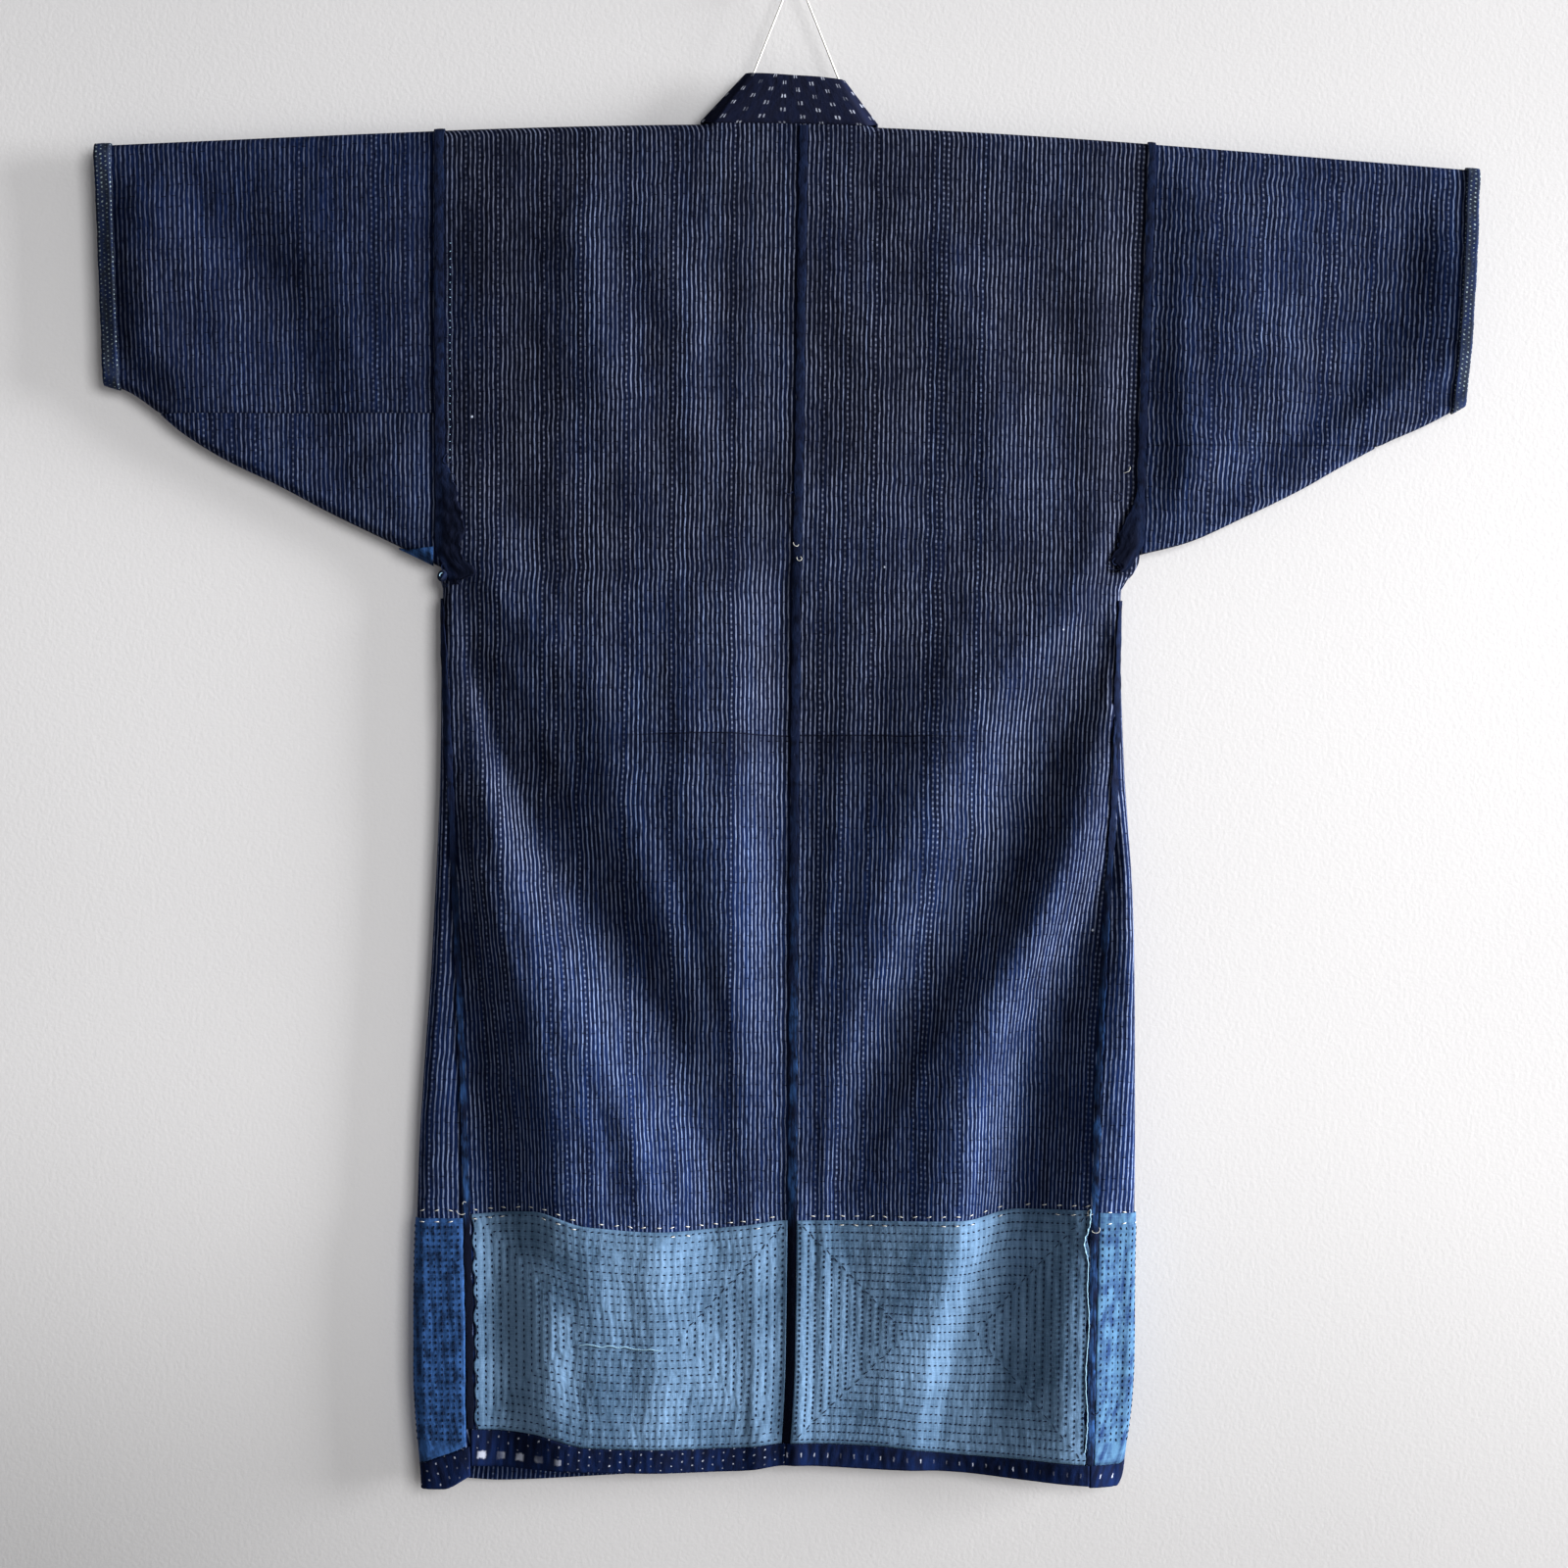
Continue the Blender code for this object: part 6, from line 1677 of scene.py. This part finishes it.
def hem_band_points(face, side, row, column):
    """A band along the hem, gathered into small ribs, on the face called back or front."""
    if face == "back":
        around_of, levels, start_of, shift = back_around, back_levels, centre_around, 24 + side
    else:
        around_of, levels, start_of, shift = front_place_around, front_levels, front_around, 27 + 2 * side
    around, down = laid(side, column, row, around_of, levels, 1, 2 * GAP)
    across = np.abs(around - start_of(side, down))
    gather = np.cos(2 * pi * across / 0.0088 + 0.9 * np.sin(across / 0.021))
    ribs = 0.00055 * (0.5 + 0.5 * gather) * np.sin(pi * np.clip(row, 0.06, 0.94))
    points = body_skin(side, around, down, GAP + ribs)
    return points, coordinates(across + shift, row * HEM_TALL, 0.5 * row)


class ROBE_OT_hem_bands(bpy.types.Operator):
    """Bind the hem of each body length, back and front"""
    bl_idname = "robe.hem_bands"
    bl_label = "Hem bands"

    def execute(self, context):
        for side in SIDES:
            name = SIDE_NAMES[side]
            for face, columns, flat in (
                    ("back", ((0, 1, 40), (1, 2, 112)), (PATCH_WIDE[side] + 0.01, HEM_TALL)),
                    ("front", ((1, 2, 90), (2, 3, 30)), (FRONT_WIDE, HEM_TALL))):
                piece = sew_side(side, face + "_hem", face + "_hem_band", np.linspace(0, 1, 13),
                                 spaced(*columns), partial(hem_band_points, face), OVERLAY,
                                 name + "_hem_ikat_cotton", "indigo_ikat_cotton", outside=True)
        return {"FINISHED"}


# Needlework ---------------------------------------------------------------------------------

def running_stitches(start, end, pitch, rng):
    """Stitch places along a line from one flat point to another, and the angle they run at."""
    run = np.hypot(end[0] - start[0], end[1] - start[1])
    count = max(int(run / pitch), 1)
    shares = (np.arange(count) + 0.5 + np.array([rng.uniform(-0.08, 0.08) for _ in range(count)])) / count
    turn = np.arctan2(end[1] - start[1], end[0] - start[0])
    return mix(start[0], end[0], shares), mix(start[1], end[1], shares), np.full(count, turn)


def on_back(x, down, lift):
    """A point over the back, from its place across and down."""
    side = 1 if x > BODY.read("centre", down) else -1
    inset = edge_x(side, down) - side * x
    return body_skin(side, around_from_inset(inset), down, lift)


# Where thread ends hang out: across, down, length, the way they set off and how they curl
LOOSE_ENDS = {
    "white": [
        (0.0035, 0.377, 0.012, 1.2, 0.45), (0.0020, 0.388, 0.016, 2.0, -0.55),
        (0.3000, 0.300, 0.014, 1.4, 0.10), (-0.3030, 0.973, 0.018, 1.9, -0.30),
        (-0.2960, 0.968, 0.012, 2.9, 0.50), (0.2660, 0.972, 0.020, 1.0, 0.55),
        (0.2640, 0.986, 0.022, 2.0, -0.45), (-0.3290, 0.520, 0.008, 0.6, 0.40)],
    "dark": [
        (-0.3110, 0.398, 0.026, 1.6, 0.75), (-0.3080, 0.404, 0.030, 2.4, -0.65),
        (-0.3100, 0.412, 0.020, 0.7, 0.90), (-0.3070, 0.300, 0.030, 2.0, 0.60),
        (-0.3090, 0.318, 0.026, 1.0, -0.70), (0.2930, 0.330, 0.026, 1.2, 0.75),
        (0.2960, 0.352, 0.030, 2.2, -0.65), (0.2920, 0.372, 0.024, 1.0, 0.85),
        (0.2900, 0.390, 0.026, 2.3, 0.60), (0.2940, 0.388, 0.030, 1.3, 0.35),
        (-0.0020, 0.330, 0.018, 1.5, 0.50), (0.2700, 1.150, 0.016, 1.7, 0.40)],
}
SIDE_STITCH_ROWS = 9
FIRST_SIDE_ROW = 0.0075    # from the side seam, and the step to each next row
SIDE_ROW_STEP = 0.0054
SIDE_ROW_SPAN = (0.985, 1.180)
SIDE_STITCH_PITCH = 0.0057
TACKED = 0.977             # how far down the side patches' tacked edge lies
TEAR = (-0.192, 1.091), (-0.119, 1.0965)
KNOT = (-0.3155, 0.404)
KNOT_TURNS = ((0.0034, 0.3), (0.0026, 1.4), (0.0018, 2.5))    # radius and lean of each turn


class ROBE_OT_stitches(bpy.types.Operator):
    """Sew the dark running stitches of the patches and the white tacking stitches"""
    bl_idname = "robe.stitches"
    bl_label = "Stitches"

    def execute(self, context):
        sizes = context.scene.robe_sizes
        dark, white = finish("dark_sewing_thread"), finish("white_sewing_thread")
        rng = random.Random(7)
        tacking, slanted, corners = [], [], {-1: [], 1: []}
        for side in SIDES:
            name = SIDE_NAMES[side]
            wide, tall = PATCH_WIDE[side], PATCH_TALL
            pitch = sizes.stitch_pitch * PATCH_PITCH[side]
            rows = []
            for inset in np.arange(sizes.patch_row / 2, tall / 2 - 0.002, sizes.patch_row):
                for far in (inset, tall - inset):
                    run = np.arange(np.ceil(inset / pitch), (wide - inset) / pitch) * pitch
                    rows.append((run - rib_sway(side, run, run * 0 + far), run * 0 + far, run * 0))
                for far in (inset, wide - inset):
                    run = np.arange(inset + 0.003, tall - inset - 0.003, pitch)
                    rows.append((run * 0 + far, run, run * 0 + pi / 2))
                if inset < tall / 2 - 2 * sizes.patch_row:
                    half = inset + sizes.patch_row / 2
                    corners[side] += [(half, half, pi / 4), (wide - half, half, -pi / 4),
                                      (half, tall - half, -pi / 4), (wide - half, tall - half, pi / 4)]
            across, along, turns = (np.concatenate(part) for part in zip(*rows))
            keep = np.array([rng.random() > 0.03 for _ in across])
            across, along, turns = across[keep], along[keep], turns[keep]
            on_patch = partial(patch_place, side)
            spots = stitch_spots(on_patch, across, along, turns, OVERLAY + 0.0003, rng)
            needlework("patch_stitches_" + name, spots, sizes.stitch_long, sizes.stitch_wide, dark)

            shown = corners[side][::4] if side < 0 else corners[side]
            slanted += stitch_spots(on_patch, *zip(*shown), OVERLAY + 0.0005, rng)

            def on_front(inwards, down, lift, side=side):
                return body_skin(side, front_edge(side, down) - inwards, down, GAP + lift)
            columns = []
            for order in range(SIDE_STITCH_ROWS):
                out = FIRST_SIDE_ROW + order * SIDE_ROW_STEP
                start, end = ((out, down) for down in SIDE_ROW_SPAN)
                columns.append(running_stitches(start, end, SIDE_STITCH_PITCH, rng))
            across, along, turns = (np.concatenate(part) for part in zip(*columns))
            spots = stitch_spots(on_front, across, along, turns, OVERLAY + 0.0003, rng)
            needlework("side_patch_stitches_" + name, spots, sizes.stitch_long, sizes.stitch_wide, dark)

            def above_patch(across, below, lift, side=side):
                down = below + back_levels(side, centre_around(side, PATCH_ROW) - across, PATCH_ROW)[0]
                return body_skin(side, centre_around(side, down) - across, down, lift)
            for fall, lift in ((-0.0038, 0.0004), (0.0042, OVERLAY + 0.0008)):
                row = running_stitches((0.012, fall), (wide + 0.002, fall), sizes.basting_pitch, rng)
                keep = [rng.random() > (0.1 if fall < 0 else 0.5) for _ in row[0]]
                tacking += stitch_spots(above_patch, *(part[keep] for part in row), lift, rng)
            for fall in (-0.004, 0.006):
                start, end = ((inwards, TACKED + fall) for inwards in (0.007, 0.045))
                row = running_stitches(start, end, sizes.basting_pitch, rng)
                tacking += stitch_spots(on_front, *row, 0.0006 + (0.0008 if fall > 0 else 0.0), rng)
        needlework("tacking_stitches", tacking, sizes.basting_long, 0.0010, white)
        needlework("corner_stitches", slanted, 0.0062, 0.0009, dark)

        patch_edge = []
        for along in np.arange(-0.001, 0.196, 0.002):
            stray = 0.0011 * sin(along / 0.0121) + rng.uniform(-0.0004, 0.0004)
            stray -= 0.0055 * float(np.exp(-((along - 0.026) / 0.011) ** 2))
            patch_edge.append(patch_place(1, PATCH_WIDE[1] - 0.0006 + stray, along, OVERLAY + 0.0006))
        pale = finish("blue_sewing_thread")
        curl = [Vector(point) + Vector((0.0008 * sin(order * 2.1), -0.0006, 0))
                for order, point in enumerate(patch_edge[:20])]
        threads("frayed_patch_edge", [patch_edge, curl], 0.0005, pale)
        mend = [on_back(x, down + rng.uniform(-0.0012, 0.0012), 0.0024)
                for x, down in np.linspace(*TEAR, 16)]
        threads("mended_tear", [mend], 0.0005, pale)
        for name, radius, look in (("white", 0.00025, white), ("dark", 0.00045, dark)):
            runs = []
            for x, down, long, turn, curl in LOOSE_ENDS[name]:
                point, run = np.array((x, down)), []
                for step in range(9):
                    run.append(on_back(*point, 0.0010 + 0.0012 * sin(pi * step / 8)))
                    turn += curl + rng.uniform(-0.35, 0.35)
                    point = point + long / 12 * np.array((cos(turn), sin(turn)))
                runs.append(run)
            threads(name + "_loose_ends", runs, radius, look)

        knot, middle = [], Vector((KNOT[0], -0.0100, height(*KNOT)))
        for turn, (radius, lean) in enumerate(KNOT_TURNS):
            angles = np.linspace(0, 2 * pi, 12)
            knot.append([middle + Vector((radius * cos(a), -0.0012 * turn - 0.0010 * sin(a + lean),
                                          1.2 * radius * sin(a + 0.4 * lean))) for a in angles])
        threads("seam_knot", knot, 0.0014, dark)
        threads("seam_knot_blue", [[middle + Vector((0.0022 * cos(a), -0.0046, 0.0026 * sin(a)))
                                    for a in (1.4, 2.0, 2.6, 3.3)]], 0.0005, pale)

        def beside_armhole(inwards, down, lift):
            return body_skin(-1, QUARTER + inwards, down, lift)
        row = running_stitches((0.0095, 0.10), (0.0080, 0.300), 0.0067, rng)
        spots = stitch_spots(beside_armhole, row[0], row[1], row[2] * 0, 0.0004, rng)
        needlework("armhole_stitches", spots, 0.0022, 0.0006, pale)
        return {"FINISHED"}


class ROBE_OT_hanger(bpy.types.Operator):
    """Run the string from the rod over the pin, tie its ends, and finish the rod and the pin"""
    bl_idname = "robe.hanger"
    bl_label = "Rod, string and pin"

    def execute(self, context):
        look = finish("twisted_cotton_string")
        turn = PIN_RADIUS + GAP + STRING_DIAMETER / 2
        route = []
        feet = {side: self.string_foot(side, turn) for side in SIDES}
        for side in SIDES:
            leaves = Vector((side * turn * cos(STRING_ANGLE), 0, turn * sin(STRING_ANGLE)))
            steps = round((leaves - feet[side]).length / STRING_STEP)
            leg = [feet[side].lerp(leaves, step / steps) for step in range(steps + 1)]
            if side == -1:
                route += leg
                for step in range(1, 8):
                    bearing = pi - STRING_ANGLE - (pi - 2 * STRING_ANGLE) * step / 8
                    route.append(Vector((turn * cos(bearing), 0, turn * sin(bearing))))
            else:
                route += reversed(leg)
        string = threads("cotton_string", [route], STRING_DIAMETER / 2, look, True)
        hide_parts("hanging_string")
        for side in SIDES:
            x = feet[side].x
            centre = self.rod_height(x)
            wound = []
            for step in range(61):
                bearing = pi / 2 + 2 * pi * 3 * step / 60
                reach = ROD_RADIUS + GAP + STRING_DIAMETER / 2
                wound.append(Vector((x + (step / 60 - 0.5) * 3 * STRING_DIAMETER * 1.03,
                                     reach * cos(bearing), centre + reach * sin(bearing))))
            tie = threads("string_tie_" + SIDE_NAMES[side], [wound], STRING_DIAMETER / 2, look,
                          True)
            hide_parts("string_loop_" + SIDE_NAMES[side])
        for node, look_name in (("hanging_rod", "planed_bamboo"), ("wall_pin", "turned_steel")):
            for slot in bpy.data.objects[node].material_slots:
                slot.material = finish(look_name)
        return {"FINISHED"}

    @staticmethod
    def rod_height(x):
        return float(shoulder_top(x)) - CLOTH - ROD_PLAY - ROD_RADIUS

    def string_foot(self, side, turn):
        """Where a leg of the string meets its loop on the rod."""
        x = 0.0
        for _ in range(6):
            top = self.rod_height(x) + ROD_RADIUS + 2 * GAP + STRING_DIAMETER
            x = side * (turn - top * sin(STRING_ANGLE)) / cos(STRING_ANGLE)
        return Vector((x, 0, top))


class ROBE_OT_stage(bpy.types.Operator):
    """Set the wall, the floor, the window light and the camera"""
    bl_idname = "robe.stage"
    bl_label = "Stage"

    def execute(self, context):
        scene, stage = context.scene, context.scene.robe_stage
        only_backdrop = bpy.data.collections.new("only_backdrop")
        no_backdrop = bpy.data.collections.new("no_backdrop")
        for name, colour, place, turn in (
                ("plaster_wall", stage.wall, (0, 0.0225, -0.6), (pi / 2, 0, 0)),
                ("pale_floor", stage.floor, (0, -1.9, -1.9), (0, 0, 0))):
            maker = bmesh.new()
            bmesh.ops.create_grid(maker, x_segments=1, y_segments=1, size=3.4 if turn[0] else 4.0)
            bmesh.ops.transform(maker, matrix=Matrix.Rotation(turn[0], 4, "X"), verts=maker.verts)
            bmesh.ops.translate(maker, vec=place, verts=maker.verts)
            mesh = bpy.data.meshes.new(name)
            maker.to_mesh(mesh)
            maker.free()
            plaster(name, colour)
            mesh.materials.append(bpy.data.materials[name])
            backdrop = bpy.data.objects.new(name, mesh)
            scene.collection.objects.link(backdrop)
            for wanted, link_state in ((only_backdrop, "INCLUDE"), (no_backdrop, "EXCLUDE")):
                wanted.objects.link(backdrop)
                wanted.collection_objects[-1].light_linking.link_state = link_state

        camera = bpy.data.objects.new("camera", bpy.data.cameras.new("camera"))
        camera.data.lens = stage.lens
        camera.data.sensor_width = 36.0
        camera.location = (-0.0097, -stage.camera_distance, -0.7214)
        camera.rotation_euler = (pi / 2, 0, 0)
        scene.collection.objects.link(camera)
        scene.camera = camera

        for name, power, place, lit in (
                ("window", stage.key_power, (9.5, -2.2, 0.3), None),
                ("window_rake", stage.rake_power, (5.5, -1.35, 0.2), no_backdrop),
                ("room_fill", stage.fill_power, (3.0, -7.6, 0.3), only_backdrop),
                ("room_behind", stage.behind_power, (0.0, 6.0, -0.4), no_backdrop)):
            light = bpy.data.lights.new(name, "AREA")
            light.size, light.energy = 0.4 * Vector(place).length, power
            lamp = bpy.data.objects.new(name, light)
            lamp.location = place
            lamp.light_linking.receiver_collection = lit
            aim = Vector((0.0, 0.0, -0.65)) - lamp.location
            lamp.rotation_euler = aim.to_track_quat("-Z", "Y").to_euler()
            scene.collection.objects.link(lamp)

        world = bpy.data.worlds.new("sky")
        world.use_nodes = True
        sky = world.node_tree.nodes["Background"]
        sky.inputs["Color"].default_value = (*stage.sky_colour, 1.0)
        sky.inputs["Strength"].default_value = stage.sky
        scene.world = world
        scene.view_settings.view_transform = "Standard"
        return {"FINISHED"}


class ROBE_PT_sidebar(bpy.types.Panel):
    """Every step of dressing the robe, in the order that it is made"""
    bl_idname = "ROBE_PT_sidebar"
    bl_label = "Boro work robe"
    bl_space_type = "VIEW_3D"
    bl_region_type = "UI"
    bl_category = "Robe"

    def draw(self, context):
        layout = self.layout
        for step in STEPS:
            layout.operator(step.bl_idname)
        for group in (context.scene.robe_sizes, context.scene.robe_colours, context.scene.robe_stage):
            box = layout.box()
            for name in group.__annotations__:
                box.prop(group, name)


STEPS = (ROBE_OT_stage, ROBE_OT_hanger, ROBE_OT_body, ROBE_OT_sleeves, ROBE_OT_cuffs, ROBE_OT_collar,
         ROBE_OT_tapes, ROBE_OT_patches, ROBE_OT_hem_bands, ROBE_OT_stitches)
GROUPS = (RobeSizes, RobeColours, RobeStage)


def register():
    for made in GROUPS + STEPS + (ROBE_PT_sidebar,):
        bpy.utils.register_class(made)
    bpy.types.Scene.robe_sizes = PointerProperty(type=RobeSizes)
    bpy.types.Scene.robe_colours = PointerProperty(type=RobeColours)
    bpy.types.Scene.robe_stage = PointerProperty(type=RobeStage)


def unregister():
    del bpy.types.Scene.robe_sizes
    del bpy.types.Scene.robe_colours
    del bpy.types.Scene.robe_stage
    for made in reversed(GROUPS + STEPS + (ROBE_PT_sidebar,)):
        bpy.utils.unregister_class(made)


def main():
    register()
    bpy.ops.robe.stage()
    bpy.ops.robe.hanger()
    bpy.ops.robe.body()
    bpy.ops.robe.sleeves()
    bpy.ops.robe.cuffs()
    bpy.ops.robe.collar()
    bpy.ops.robe.tapes()
    bpy.ops.robe.patches()
    bpy.ops.robe.hem_bands()
    bpy.ops.robe.stitches()


if __name__ == "__main__":
    main()
